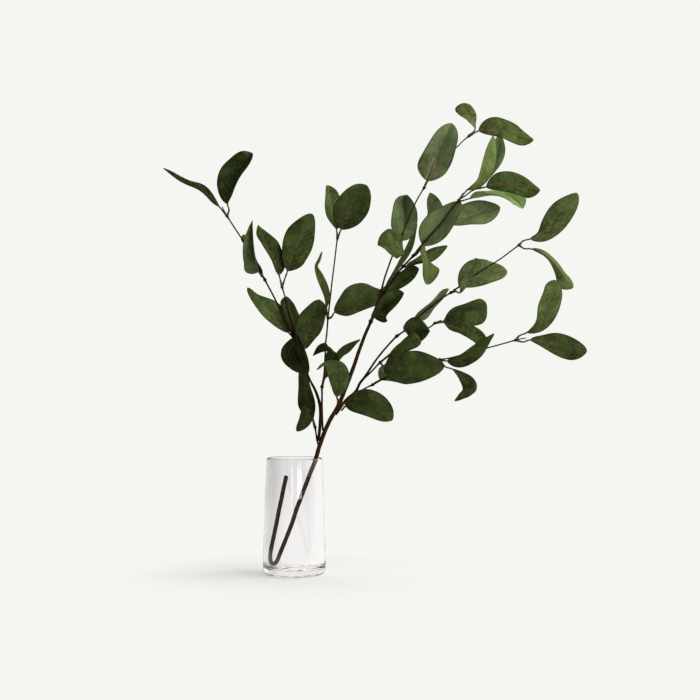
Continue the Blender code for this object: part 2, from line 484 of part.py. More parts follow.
def row_at(L, t):
    """Midrib point, direction, sideways and upward directions at t."""
    x = min(max(t, 0.0), 1.0) * 120
    i = int(min(x, 119))
    f = x - i
    mix = [L[k][i] * (1 - f) + L[k][i + 1] * f for k in ("blade", "tangent", "side", "up")]
    return mix[0], unit(mix[1]), unit(mix[2]), unit(mix[3])


def blade_point(L, t, s, row=None):
    """Middle surface of the blade; s runs -1 (left) .. 0 .. 1 (right)."""
    c, tg, sd, up = row if row is not None else row_at(L, t)
    lean, spread = L["halves"][0 if s < 0 else 1]
    at_t = min(max(t, 0.0), 1.0) * 40
    k = int(min(at_t, 39))
    f = at_t - k
    al = lean[k] * (1 - f) + lean[k + 1] * f
    hw = L["half"] * outline(t, *L["ab"]) * (spread[k] * (1 - f) + spread[k + 1] * f)
    sgn = 1.0 if s < 0 else -1.0
    x = abs(s)
    cu = L["more"].get("curl", 1.0) * CURL
    across = (math.sin(al + cu) - math.sin(al + cu - 2 * cu * x)) / (2 * cu)
    rise = (math.cos(al + cu - 2 * cu * x) - math.cos(al + cu)) / (2 * cu)
    wave = math.sin(2 * math.pi * (1.35 * t + (0.37 if s < 0 else 0.0)) + L["phase"])
    wave *= L["more"].get("wave", 0.9) * x * x * min(1.0, t / 0.15) * min(1.0, (1 - t) / 0.12)
    return (c + hw * (across * sgn * sd + rise * up)
            + wave * (math.cos(al) * up - math.sin(al) * sgn * sd))


def blade_normal(L, t, s):
    """Direction square to the blade, on the side turned to the viewer."""
    row = row_at(L, t)
    e = 0.08
    if s == 0:
        a = blade_point(L, t, -e, row)
        b = blade_point(L, t, e, row)
    else:
        a = blade_point(L, t, max(s - e, -1.0) if s < 0 else max(s - e, 0.001), row)
        b = blade_point(L, t, min(s + e, -0.001) if s < 0 else min(s + e, 1.0), row)
    return unit(np.cross(row[1], unit(b - a)) * -1.0)


# --------------------------------------------------------------- solid pieces
def thin_out(c, tol):
    """Fewest samples of a curve that keep within tol of it."""
    keep = [0, len(c) - 1]
    stack = [(0, len(c) - 1)]
    while stack:
        i, j = stack.pop()
        if j - i < 2:
            continue
        seg = c[j] - c[i]
        w = c[i + 1:j] - c[i]
        f = np.clip(w @ seg / max(seg @ seg, 1e-12), 0, 1)
        far = np.linalg.norm(w - f[:, None] * seg, axis=1)
        k = int(np.argmax(far))
        if far[k] > tol:
            m = i + 1 + k
            keep.append(m)
            stack += [(i, m), (m, j)]
    return sorted(keep)


COLLAR_RISE = 0.65
COLLAR_HALF = 1.9


def stem_rows(rows, nodes, tol=0.10):
    """Rows of a stem in millimetres, with a low collar at every leaf node."""
    c = dense_path([list(at(u, v, d)) + [r] for u, v, d, r in rows])
    run = lengths(c)
    keep = [run[i] for i in thin_out(c, tol)]
    marks = []
    for node in nodes:
        far = np.linalg.norm(c[:, :3] - node, axis=1)
        i = int(np.argmin(far))
        if far[i] < 2.5:
            marks.append(min(max(run[i], COLLAR_HALF + 0.3), run[-1] - COLLAR_HALF - 0.3))
    marks = sorted(set(round(m, 2) for m in marks))
    marks = [m for k, m in enumerate(marks) if k == 0 or m - marks[k - 1] > 2 * COLLAR_HALF + 0.6]
    keep = [w for w in keep if all(abs(w - m) > COLLAR_HALF + 0.5 for m in marks)]
    extra = {}
    for m in marks:
        for off, add in ((-COLLAR_HALF, 0.0), (-COLLAR_HALF + 0.7, COLLAR_RISE),
                         (COLLAR_HALF - 0.7, COLLAR_RISE), (COLLAR_HALF, 0.0)):
            extra[m + off] = add
    where = sorted(set(keep) | set(extra) | {0.0, run[-1]})
    out = sample(c, where)
    out[:, 3] += [extra.get(w, 0.0) for w in where]
    return out


BLADE_STATIONS = (0.035, 0.13, 0.28, 0.46, 0.64, 0.80, 0.93)
STALK_RADIUS = 0.75
RIB_HALF = 0.50
BLADE_HALF = 0.32
MARGIN_HALF = 0.10


def leaf_solid(L, start):
    """One closed body: round stalk from start on, running out into a blade."""
    stalk = L["stalk"]
    run = lengths(stalk)
    span = run[-1] - start
    rings = max(2, int(round(span / 6.0)) + 1)
    where = [start + span * k / rings for k in range(rings)]
    pts = sample(stalk, where)
    c0, tg0, sd0, up0 = row_at(L, 0.0)
    tg = unit(np.gradient(stalk, axis=0))
    tang = sample(np.hstack([stalk, tg]), where)[:, 3:]
    verts, faces = [], []
    up = up0
    frames = []
    for k in range(rings - 1, -1, -1):
        t = unit(tang[k])
        up = unit(up - np.dot(up, t) * t)
        frames.append((pts[k], np.cross(up, t), up))
    frames.reverse()
    for p, sd, upv in frames:
        for k in range(10):
            w = math.radians(162 - 36 * k)     # upper left, over the top, round below
            verts.append(p - STALK_RADIUS * math.cos(w) * sd + STALK_RADIUS * math.sin(w) * upv)
    for t in [t + L["more"].get("shift", 0.0) for t in BLADE_STATIONS]:
        for s, h in ((-1, MARGIN_HALF), (-0.5, BLADE_HALF), (0, RIB_HALF), (0.5, BLADE_HALF), (1, MARGIN_HALF),
                     (1, -MARGIN_HALF), (0.5, -BLADE_HALF), (0, -RIB_HALF), (-0.5, -BLADE_HALF), (-1, -MARGIN_HALF)):
            verts.append(blade_point(L, t, s) + blade_normal(L, t, s) * h)
    n = rings + len(BLADE_STATIONS)
    for i in range(n - 1):
        for k in range(10):
            a, b = i * 10 + k, i * 10 + (k + 1) % 10
            # both skins of the thin blade are split along the same diagonals
            if k < 5:
                faces += [(a, b, b + 10), (a, b + 10, a + 10)]
            else:
                faces += [(a, b, a + 10), (b, b + 10, a + 10)]
    faces.append(tuple(range(10))[::-1])
    verts.append(blade_point(L, 1.0, 0.0))
    tip = len(verts) - 1
    for k in range(10):
        faces.append(((n - 1) * 10 + k, (n - 1) * 10 + (k + 1) % 10, tip))
    return verts, faces


STEMS = {
    "main_stem": [MAIN_STEM],
    "centre_spray_stem": [CENTRE_STEM, CENTRE_TWIG],
    "left_spray_stem": [LEFT_STEM, LEFT_BRANCH],
    "upright_spray_stem": [UPRIGHT_STEM],
    "left_twig_stem": [TWIG_STEM],
    "right_spray_stem": [RIGHT_STEM, RIGHT_BRANCH],
    "lower_right_spray_stem": [LOWER_STEM],
}


def clearance(p, c):
    """Distance from a point to the skin of a tube of x, y, z, radius rows."""
    a, b = c[:-1], c[1:]
    seg = b[:, :3] - a[:, :3]
    f = np.sum((p - a[:, :3]) * seg, axis=1) / np.maximum(np.sum(seg * seg, axis=1), 1e-9)
    f = np.clip(f, 0, 1)
    near = a[:, :3] + f[:, None] * seg
    return float(np.min(np.linalg.norm(near - p, axis=1) - (a[:, 3] + f * (b[:, 3] - a[:, 3]))))


def stalk_start(L, tubes, gap=0.42):
    """Distance along the stalk from which on it clears every given tube."""
    run = lengths(L["stalk"])
    start = 0.0
    for where in np.arange(0.0, run[-1] - 1.0, 0.2):
        p = sample(L["stalk"], [where])[0]
        if min(clearance(p, c) for c in tubes) < STALK_RADIUS + gap:
            start = where + 0.2
    return start


def stalk_tube(L, start):
    run = lengths(L["stalk"])
    c = sample(L["stalk"], np.linspace(start, run[-1], 12))
    return np.hstack([c, np.full((12, 1), STALK_RADIUS)])


def all_stem_rows():
    nodes = [at(*leaf[1]) for leaf in LEAVES]
    return {k: [stem_rows(rows, nodes) for rows in v] for k, v in STEMS.items()}


def all_leaves(stems):
    """Every leaf with the place where its stalk starts beside the stem."""
    tubes = [c for v in stems.values() for c in v]
    out = []
    for leaf in LEAVES:
        L = leaf_setup(leaf)
        start = stalk_start(L, tubes)
        tubes.append(stalk_tube(L, start))
        out.append((L, start))
    return out


# ------------------------------------------------------------------ modelling
for old in list(bpy.data.objects):
    bpy.data.objects.remove(old, do_unlink=True)


def material(name, colour, roughness, transmission=0.0):
    made = bpy.data.materials.new(name)
    made.use_nodes = True
    made.diffuse_color = (*colour, 1.0)
    shader = made.node_tree.nodes["Principled BSDF"]
    shader.inputs["Base Color"].default_value = (*colour, 1.0)
    shader.inputs["Roughness"].default_value = roughness
    shader.inputs["Metallic"].default_value = 0.0
    shader.inputs["Transmission Weight"].default_value = transmission
    return made


stand = bpy.data.objects.new("branch_in_glass", None)
bpy.context.collection.objects.link(stand)


def place(name, data, made, at_mm=(0.0, 0.0, 0.0)):
    """Object with its origin at at_mm, held by the common empty."""
    thing = bpy.data.objects.new(name, data)
    bpy.context.collection.objects.link(thing)
    thing.location = [c * MM for c in at_mm]
    thing.parent = stand
    data.materials.clear()
    data.materials.append(made)
    return thing


def smooth(mesh, angle):
    mesh.shade_smooth()
    mesh.set_sharp_from_angle(angle=math.radians(angle))


def spun_glass(name):
    """Wall and base of the glass: one profile spun about Z."""
    bm = bmesh.new()
    profile = VASE_OUTER[1:] + VASE_LIP + VASE_INNER[:-1]
    ring = [bm.verts.new((r * MM, 0.0, z * MM)) for r, z in profile]
    edges = [bm.edges.new(pair) for pair in zip(ring, ring[1:])]
    bmesh.ops.spin(bm, geom=ring + edges, cent=(0, 0, 0), axis=(0, 0, 1),
                   angle=2 * math.pi, steps=GLASS_SIDES, use_duplicate=False)
    bmesh.ops.remove_doubles(bm, verts=bm.verts, dist=1e-6)
    bmesh.ops.holes_fill(bm, edges=[e for e in bm.edges if e.is_boundary])
    bmesh.ops.recalc_face_normals(bm, faces=bm.faces)
    mesh = bpy.data.meshes.new(name)
    bm.to_mesh(mesh)
    bm.free()
    smooth(mesh, 40)
    return mesh


def wire_mesh(name, rows, bevel):
    """Covered wire: a bevelled curve with filled ends, turned into a mesh."""
    curve = bpy.data.curves.new(name + "_run", "CURVE")
    curve.dimensions = "3D"
    curve.twist_mode = "MINIMUM"
    curve.bevel_depth = MM
    curve.bevel_resolution = bevel
    curve.use_fill_caps = True
    line = curve.splines.new("POLY")
    line.points.add(len(rows) - 1)
    for point, (x, y, z, r) in zip(line.points, rows):
        point.co = (x * MM, y * MM, z * MM, 1.0)
        point.radius = r
    run = bpy.data.objects.new(name + "_run", curve)
    bpy.context.collection.objects.link(run)
    bpy.context.view_layer.update()
    graph = bpy.context.evaluated_depsgraph_get()
    mesh = bpy.data.meshes.new_from_object(run.evaluated_get(graph))
    bpy.data.objects.remove(run, do_unlink=True)
    bm = bmesh.new()
    bm.from_mesh(mesh)
    bmesh.ops.remove_doubles(bm, verts=bm.verts, dist=1e-7)
    bmesh.ops.recalc_face_normals(bm, faces=bm.faces)
    bm.to_mesh(mesh)
    bm.free()
    mesh.name = name
    smooth(mesh, 50)
    return mesh


def leaf_mesh(name, L, start):
    """Stalk and blade lofted through eight-sided rings, from the stalk's start."""
    verts, faces = leaf_solid(L, start)
    origin = sum(verts[:8]) / 8.0
    bm = bmesh.new()
    made = [bm.verts.new([float(c) * MM for c in p - origin]) for p in verts]
    for face in faces:
        bm.faces.new([made[i] for i in face])
    bmesh.ops.recalc_face_normals(bm, faces=bm.faces)
    mesh = bpy.data.meshes.new(name)
    bm.to_mesh(mesh)
    bm.free()
    smooth(mesh, 50)
    return mesh, origin


place("vase", spun_glass("vase"), material("vase_glass", (0.93, 0.97, 0.95), 0.03, 0.9))

stems = all_stem_rows()
BARK = {"main_stem": (0.075, 0.058, 0.040)}
for name, runs in stems.items():
    bevel = STEM_BEVEL.get(name, TWIG_BEVEL)
    cover = material(name + "_cover", BARK.get(name, (0.060, 0.050, 0.036)), 0.55)
    stem = place(name, wire_mesh(name, runs[0], bevel), cover)
    for rows in runs[1:]:
        fork = place(name + "_fork", wire_mesh(name + "_fork", rows, bevel), cover)
        fork.hide_render = True
        fork.display_type = "WIRE"
        join = stem.modifiers.new("fork", "BOOLEAN")
        join.operation = "UNION"
        join.solver = "EXACT"
        join.object = fork

for L, start in all_leaves(stems):
    mesh, origin = leaf_mesh(L["name"], L, start)
    pale = L["face"] == "under"
    shift = 0.85 + 0.3 * ((L["phase"] * 13) % 17) / 17.0
    colour = (0.175, 0.255, 0.120) if pale else (0.055, 0.110, 0.042)
    cloth = material(L["name"] + "_cloth", tuple(c * shift for c in colour), 0.62)
    place(L["name"], mesh, cloth, origin)
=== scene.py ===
import bpy
import math
import numpy as np
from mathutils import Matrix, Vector


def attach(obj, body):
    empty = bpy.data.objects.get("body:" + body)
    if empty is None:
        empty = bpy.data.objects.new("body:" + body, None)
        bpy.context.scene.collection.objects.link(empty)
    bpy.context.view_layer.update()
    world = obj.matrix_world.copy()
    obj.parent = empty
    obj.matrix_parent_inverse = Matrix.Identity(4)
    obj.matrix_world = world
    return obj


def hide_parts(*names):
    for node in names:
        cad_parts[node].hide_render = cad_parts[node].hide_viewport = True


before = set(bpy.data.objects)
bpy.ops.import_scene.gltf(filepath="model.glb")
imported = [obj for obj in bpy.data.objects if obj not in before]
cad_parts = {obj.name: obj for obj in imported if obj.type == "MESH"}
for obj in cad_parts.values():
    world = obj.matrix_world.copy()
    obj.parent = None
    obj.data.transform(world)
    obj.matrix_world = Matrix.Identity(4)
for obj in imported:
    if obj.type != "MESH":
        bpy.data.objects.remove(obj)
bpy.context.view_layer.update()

MM = 0.001                       # every table and length below is in mm

# ---------------------------------------------------------------- front chart
# The branch is laid out on a front chart: u runs right and v runs down in
# chart units, d is the distance in millimetres from the vase axis towards
# the viewer.  The chart is a perspective view from EYE; at() turns a chart
# position into millimetres, with the middle of the vase foot at the origin,
# X to the right, Y away from the viewer and Z up.
CHART_MIDDLE = 350.0
CHART_FOCUS = 1361.1
EYE = (71.5, -1756.0, 249.5)
TILT = math.radians(1.26)


def at(u, v, d):
    x = (u - CHART_MIDDLE) / CHART_FOCUS
    y = (CHART_MIDDLE - v) / CHART_FOCUS
    ray = np.array([x, math.cos(TILT) - y * math.sin(TILT),
                    math.sin(TILT) + y * math.cos(TILT)])
    return np.array(EYE) + ray * ((-d - EYE[1]) / ray[1])


# ------------------------------------------------------------------ the stems
# Each row: u, v, d, radius in millimetres.
MAIN_STEM = [
    (286, 477, -6, 2.70), (283, 491, -6, 2.75), (279, 510, -5, 2.75),
    (275, 530, -5, 2.75), (271.3, 547, -4, 2.75), (270, 557, -4, 2.75),
    (271, 562.5, -3, 2.75), (273.3, 564.8, -3, 2.75), (276.2, 562, -2, 2.75),
    (280, 553.5, -1, 2.75), (285, 541, 0, 2.75), (291, 526, 2, 2.75),
    (297, 508, 4, 2.75), (303, 492, 7, 2.75), (309, 476, 10, 2.75),
    (316, 458, 12, 2.75), (319.5, 446, 13, 2.75), (325, 431, 13, 2.75),
    (330.5, 419, 14, 2.75), (335.5, 411, 14, 2.75), (340, 402, 14, 2.70),
    (346, 387, 13, 2.60), (352.5, 370, 12, 2.50), (359, 351, 12, 2.30),
    (365, 335, 11, 2.10), (371, 321, 10, 1.90), (376, 307, 9, 1.65),
    (380.5, 294, 8, 1.40), (384, 280, 12, 1.15), (388, 268, 16, 1.10),
    (392, 257, 21, 1.05), (397, 246, 25, 1.00), (403, 232, 29, 0.95),
    (408, 220, 32, 0.90), (413.5, 207, 35, 0.90), (418.5, 197, 38, 0.90),
    (424, 188, 42, 0.85), (431, 176, 44, 0.80), (440, 163, 47, 0.80),
    (448, 154, 51, 0.75), (457, 147, 57, 0.75), (463, 141, 63, 0.75),
    (469, 136, 68, 0.75)]

CENTRE_STEM = [
    (380.5, 300, 5.0, 1.30), (386, 289, 1, 1.30), (392, 281, -5, 1.25),
    (398, 272.5, -10, 1.20), (405, 264.5, -15, 1.15), (413, 256, -20, 1.10),
    (420, 247, -24, 1.05), (430, 235.5, -29, 1.00), (440, 224.5, -34, 0.95),
    (450, 211, -39, 0.90), (459, 200, -44, 0.85), (465, 196, -46, 0.80),
    (471, 191.5, -49, 0.80), (478, 188, -52, 0.80)]

CENTRE_TWIG = [
    (409, 260.3, -17.5, 0.90), (417, 253.5, -30, 0.85), (426, 244, -42, 0.80),
    (434, 233, -50, 0.80), (440, 225.5, -55, 0.80)]

LEFT_STEM = [
    (318.5, 440, 16.8, 1.70), (320, 425, 17.5, 1.80), (320.5, 412, 18, 1.80),
    (319, 401, 19, 1.70), (315.5, 391, 20, 1.55), (309, 378, 23, 1.25),
    (304, 364, 26, 1.20), (299, 350, 28, 1.15), (294.5, 338, 30, 1.10),
    (287, 326, 34, 1.05), (281, 312, 38, 1.00), (275, 299, 42, 0.95),
    (265, 280, 48, 0.90), (256, 262, 53, 0.85), (246, 245, 56, 0.80),
    (236, 230, 59, 0.80), (227, 216, 62, 0.80)]
LEFT_BRANCH = [
    (295.5, 341, 29.5, 1.00), (292.5, 326, 31, 0.95), (288, 311, 32, 0.90),
    (285, 297, 33, 0.80), (282, 287, 34, 0.80)]

UPRIGHT_STEM = [
    (322.8, 430, 16, 1.10), (322, 410, 13, 1.10), (322, 395, 10, 1.10),
    (322, 387, 8, 1.10), (324, 375, 2, 1.05), (325, 360, -4, 1.00),
    (325.5, 345, -9, 0.95), (327, 331, -14, 0.95), (328, 318, -18, 0.90),
    (330, 300, -24, 0.90), (332, 282, -31, 0.85), (334.5, 262, -38, 0.80),
    (336.5, 245, -44, 0.80), (337.5, 238, -46, 0.80)]

TWIG_STEM = [
    (318.8, 447, 8.4, 1.00), (317, 440, 6, 1.00), (316, 433, 2, 0.95),
    (315, 427, -2, 0.90)]

RIGHT_STEM = [
    (336, 414, 8.8, 1.60), (343, 404, 6, 1.60), (347, 399, 5, 1.60),
    (356, 391, 4, 1.55), (360, 383, 3, 1.50), (364, 378, 2, 1.45),
    (370, 369, 0, 1.20), (376, 360, -2, 1.15), (384, 350, -4, 1.10),
    (391, 342, -6, 1.05), (397, 336, -8, 1.05), (404, 331, -10, 1.00),
    (413, 322, -13, 1.00), (423, 313, -16, 0.95), (432, 306, -18, 0.95),
    (441, 299, -21, 0.90), (451, 292.5, -24, 0.90), (462, 285, -26, 0.85),
    (470, 279, -28, 0.85), (478, 273, -30, 0.85), (486, 268, -32, 0.80),
    (494, 263, -34, 0.80), (503, 257, -36, 0.80), (511, 251, -38, 0.80),
    (519, 245, -40, 0.80)]
RIGHT_BRANCH = [
    (362.5, 380, 2.2, 1.00), (372, 371, 3.5, 0.95), (380, 362.5, 6, 0.95),
    (390, 354, 5, 0.90), (402, 344, 3, 0.85), (416, 334, 2, 0.80),
    (430, 327, 3, 0.80), (435, 323, 4, 0.80)]

LOWER_STEM = [
    (341.5, 410.5, 3, 0.95), (346, 405.5, 2, 0.95), (352, 400, 2, 0.95),
    (358, 393.5, 3, 0.90), (364, 389, 4, 0.90), (373, 384.5, 6, 0.90),
    (385, 378, 8, 0.85), (400, 370, 10, 0.85), (415, 364, 12, 0.80),
    (430, 361, 14, 0.80), (440, 359.5, 16, 0.80), (450, 358, 18, 0.80),
    (465, 354, 20, 0.75), (487, 348, 24, 0.75), (502, 344, 27, 0.75),
    (516, 340, 30, 0.75)]

# ----------------------------------------------------------------- the leaves
# One row per leaf:
#   name; node on the stem (u, v, d); shaft points (u, v, dd) of the stalk
#   between node and blade; midrib (u, v, dd) from blade base to tip, dd
#   counted from the node; left and right margins (u, v) as seen going from
#   base to tip; full width in chart units; which way each half leans
#   (+1 towards the viewer, -1 away); face turned to the viewer; extras.
LEAVES = [
    # left spray
    ("left_leaf_01", (227, 216, 62), [],
     [(219.5, 207, 1), (210, 197, 2), (200, 189, 3), (188, 182.5, 3), (175, 175, 2), (163, 168, 0)],
     [(212, 202), (200, 191), (188, 185), (178, 179.5)],
     [(214, 197), (206, 187), (195, 181), (183, 177)], 33, (-1, -1), "top", {}),
    ("left_leaf_02", (227, 216, 62), [(229, 210, 1)],
     [(227.5, 204, 2), (231, 190, 3), (238, 174, 3), (247, 160, 2), (252, 153, 0)],
     [(219, 195), (217, 180), (222, 166), (232, 157), (243, 151)],
     [(231.5, 195), (239, 180.5), (247.3, 166)], 37, (-1, 1), "top", {}),
    ("left_leaf_03", (265, 280, 48), [(262, 276, 3)],
     [(259, 272, 5), (255.8, 259, 9), (253.5, 243, 14), (252.7, 220, 16)],
     [(250, 276.5), (246.6, 273), (244.4, 264), (243, 252), (243.2, 243), (246.2, 232.5)],
     [(257, 262), (254, 250), (252.5, 225)], 30, (1, 1), "top", {"ab": (0.45, 0.9)}),
    ("left_leaf_04", (265, 280, 48), [],
     [(262, 275, -6), (254.5, 262, -14), (249, 248, -24), (244.5, 234.5, -34)],
     [(252.5, 266), (245.5, 250), (242, 240)],
     [(258, 262), (252, 246), (247, 236)], 22, (1, -1), "top", {}),
    ("left_leaf_05", (282, 287, 34), [],
     [(279, 275, 4), (273, 258, 9), (266, 243, 14), (257.8, 224.8, 16)],
     [(275, 268), (267.5, 254), (260.5, 240), (255.8, 230)],
     [(285.5, 266), (283.5, 253), (278.5, 242.5), (268, 233), (261.5, 226.5)], 34, (1, -1), "top", {"ab": (0.5, 0.95)}),
    ("left_leaf_06", (282, 287, 34), [],
     [(287.5, 271, 0), (293, 255, -4), (301, 238, -8), (312.5, 214, -10)],
     [(281.5, 258), (282, 243), (287, 230), (298, 220)],
     [(297, 269), (307, 258), (314, 243), (316, 228)], 34, (1, -1), "top", {}),
    ("left_leaf_07", (294.5, 339, 30), [],
     [(289, 333, -5), (276, 318, -8), (262, 303, -8), (247.5, 287.5, -6)],
     [(282, 331.5), (270, 322), (258, 309.5), (250, 299)],
     [(288, 318), (280, 304.5), (268, 297), (256, 293)], 30, (1, -1), "top", {}),
    ("left_leaf_08", (301, 353, 27), [],
     [(297, 338, -8), (294, 324, -14), (290, 309, -22), (287, 296.5, -30)],
     [(289, 328), (284, 315), (281, 305)],
     [(304, 328), (300, 313), (293, 301)], 28, (1, -1), "top", {}),
    ("left_leaf_09", (301, 353, 27), [],
     [(304, 349, -2), (307, 333, -2), (312, 316, 1), (319.5, 299.5, 5)],
     [(297, 338), (296, 327), (299, 315), (308, 304.5)],
     [(312, 342.5), (320, 333.5), (325.5, 316), (325, 304)], 34, (1, -1), "top", {}),
    ("left_leaf_10", (294.5, 339, 30), [],
     [(296.5, 336, 8), (298, 348, 14), (303, 361, 20), (308.5, 373, 23)],
     [(302, 345), (306, 354), (310.5, 366)],
     [(288, 341), (280.5, 352), (283, 362), (292, 369.5), (301, 373)], 33, (1, -1), "top", {}),
    # little twig low on the left
    ("twig_leaf_01", (315, 427, -2), [],
     [(313, 418, -3), (309.5, 405, -6), (305, 388, -10), (302, 366, -14)],
     [(304, 414.5), (298, 405), (297, 396), (298.5, 380)],
     [(315, 411), (315.5, 403), (311.5, 389), (306, 374)], 26, (-1, 1), "top", {}),
    ("twig_leaf_02", (315, 427, -2), [],
     [(312.5, 420, 4), (311.3, 412, 9), (309.2, 408, 15), (307.4, 414, 21), (304.4, 421.5, 23), (296.6, 431.2, 23)],
     [], [], 14, (1, 1), "under", {"carry": True, "angles": [(0, -50, 50), (1, -50, 50)]}),
    # upright spray
    ("upright_leaf_01", (337.5, 238, -46), [],
     [(336.5, 229.5, -4), (332.5, 216, -10), (330, 201, -18), (328, 185.5, -26)],
     [(331, 225), (326.5, 213), (325.8, 200)],
     [(343, 220), (341, 205), (336, 189)], 28, (1, -1), "under", {}),
    ("upright_leaf_02", (337.5, 238, -46), [],
     [(341, 229.5, 3), (347, 215.5, 6), (354, 200.5, 9), (367, 185.5, 10)],
     [(334.5, 221), (333.5, 207), (342, 193), (354, 185.5)],
     [(352, 228), (364, 218.5), (370.5, 204), (370.5, 192)], 38, (1, 1), "top", {}),
    ("upright_leaf_03", (328, 318, -18), [],
     [(326.5, 309, 4), (326, 295, 6.5), (320, 277, 7.5), (315.5, 266, 7), (318.5, 258, 6), (322, 251.5, 4)],
     [(325, 303), (321.5, 288), (315.5, 275), (315, 268), (318, 258)],
     [(329, 303), (328.5, 290), (323.5, 274), (318.5, 264), (321.5, 258)], 28, (1, -1), "top", {}),
    ("upright_leaf_04", (328, 318, -18), [(331, 317.5, 0)],
     [(334.5, 312.5, 0), (349, 304, -1), (366, 296, -4), (386, 291.5, -9)],
     [(338, 301), (346, 288), (360, 282), (372, 284), (380, 289)],
     [(343, 316), (355, 313.5), (370, 308), (380, 302)], 34, (-1, 1), "top", {"ab": (0.65, 0.5)}),
    ("upright_leaf_05", (322, 387, 8), [],
     [(325, 377, 5), (329.5, 364, 12), (333.8, 353, 20), (329.6, 347, 27), (320.6, 348.8, 31), (312.8, 355.8, 30)],
     [], [], 25, (1, 1), "under", {"carry": True, "angles": [(0, -60, 55), (1, -50, 50)], "ab": (0.6, 0.8)}),
    ("upright_leaf_06", (322, 387, 8), [],
     [(326, 376, -5), (337, 363, -9), (348, 350.5, -12), (360.5, 339.5, -14)],
     [(339, 350), (348, 343.5), (356, 340)],
     [(339, 359), (349, 352), (357, 344)], 24, (-1, 1), "top", {}),
    # on the main stem
    ("main_leaf_01", (340, 403, 14), [],
     [(336.8, 397, 6), (338.5, 386, 10), (338.5, 374, 16), (334, 364.5, 24), (325.5, 363.5, 30), (316.5, 370, 31)],
     [], [], 26, (1, 1), "top", {"carry": True, "angles": [(0, -30, 30), (1, -30, 30)]}),
    ("main_leaf_02", (340, 403, 14), [],
     [(345, 403.5, 5), (360, 404, 12), (377, 409, 18), (392.5, 420, 20)],
     [(351, 394.5), (364, 389), (380, 393), (391, 405)],
     [(352, 410), (365, 416), (380, 420.5), (389, 421.5)], 34, (-1, 1), "top", {}),
    ("main_leaf_03", (371, 321, 10), [],
     [(373.8, 317.4, 5), (384, 307, 16), (394, 300, 27), (404, 293, 34)],
     [(379, 305), (385, 296), (394, 288.5), (401, 289.5)],
     [(383, 322.8), (387, 321.4), (389.9, 314.5), (397, 306), (402.8, 298)], 28, (1, 1), "top",
     {"ab": (0.48, 0.62), "wave": 0.2}),
    ("main_leaf_04", (381.5, 291, 9), [],
     [(384, 291, -17), (395, 283.5, -29), (407, 276, -39), (419, 269, -48)],
     [(389, 280.5), (399, 272), (411, 266)],
     [(393, 290.5), (403, 287.5), (413, 280.5)], 24, (1, -1), "top", {}),
    ("main_leaf_05", (381.5, 291, 9), [],
     [(385, 287, 3), (397, 268, 1.8), (408, 248, -0.4), (417, 224, -0.6)],
     [(390, 277), (400, 258), (410, 239.5)],
     [(395, 276), (407, 258), (414.5, 240)], 28, (-1, 1), "top", {}),
    ("main_leaf_06", (396, 248, 24), [],
     [(402, 240.5, -6), (404, 226, -12), (405, 211, -20), (404, 195.5, -28)],
     [(393, 232), (391, 221), (394.5, 207), (400, 197.5)],
     [(411, 238), (416.5, 226), (415, 211), (409.5, 200)], 33, (1, 1), "top", {}),
    ("main_leaf_07", (396, 248, 24), [(394.5, 241, 3), (393.3, 235, 7)],
     [(392.4, 232.3, 12), (391.5, 240, 24), (392.5, 249, 38), (396.6, 258.7, 50)],
     [(400.8, 234), (402.2, 240), (402.8, 246), (402.9, 251.5), (400.8, 256.3)],
     [(384.6, 237.6), (380, 240.5), (377.3, 245.2), (378.6, 250.2), (384.3, 254.2), (390.5, 257.2)], 29,
     (-1, 1), "top", {"ab": (0.55, 0.45)}),
    ("main_leaf_08", (469, 136, 68), [],
     [(475, 129.5, -5), (471.5, 121.5, -14), (467, 113, -25), (462.2, 103.3, -36)],
     [(467.5, 122.5), (461, 117.5), (455.5, 111)],
     [(474.5, 120), (474.5, 112.5), (472.5, 105.5)], 20, (1, -1), "under", {"ab": (1.0, 0.32), "turn": 0.17}),
    ("main_leaf_09", (469, 136, 68), [],
     [(478.5, 131, 2), (490, 129, 4), (503, 130, 6), (516, 134, 8), (533.5, 140, 8)],
     [(485, 120), (494, 117), (506, 119.5), (517.5, 126), (526, 134)],
     [(480, 133), (490, 135.5), (505, 138.7), (515, 143), (525, 145.5)], 27, (-1, 1), "top", {}),
    ("main_leaf_10", (424, 188, 42), [],
     [(427, 181, 5), (433, 165, 11), (441, 147, 15), (452, 123.5, 16)],
     [(420, 174), (421, 156), (432, 138), (445, 125.5)],
     [(440, 178), (450, 166), (456, 148), (457.5, 133)], 36, (1, 1), "top", {}),
    # centre spray
    ("centre_leaf_01", (440, 225.5, -55), [],
     [(436.5, 221.5, -4), (433, 213, -13), (431, 204, -25), (428.5, 195.5, -36)],
     [(426.3, 216), (426.2, 206), (426.4, 197)],
     [(443, 214), (438.5, 205), (431.5, 197)], 26, (-1, 1), "top", {}),
    ("centre_leaf_02", (414.5, 256.5, -20), [],
     [(423, 246, -8), (433, 234, -16), (446, 218.5, -22), (460, 201.5, -29)],
     [(419, 236), (424, 219), (437, 207.5), (450, 201.5)],
     [(433, 246), (444, 238.5), (453, 225.5), (460, 212)], 32, (-1, 1), "top", {}),
    ("centre_leaf_03", (440, 225.5, -55), [],
     [(447, 223, -2), (463, 218.5, -6), (481, 213.5, -10), (500, 207, -12)],
     [(452, 212), (466, 203), (480, 200), (494, 203)],
     [(455, 226), (468, 225.5), (484, 224), (496, 217)], 27, (-1, 1), "top", {}),
    ("centre_leaf_04", (414.5, 256.5, -20), [],
     [(422.8, 245.5, 6), (425, 257, 18), (426.5, 270, 31), (425.5, 284, 42)],
     [(427, 253), (435, 260), (440, 268), (433, 278)],
     [(422, 257), (422, 268), (422.6, 279)], 29, (-1, 1), "under", {}),
    ("centre_leaf_05", (403.5, 267, -14), [],
     [(407, 266, -4), (420, 260, -12), (434, 253, -19), (447, 245.5, -25)],
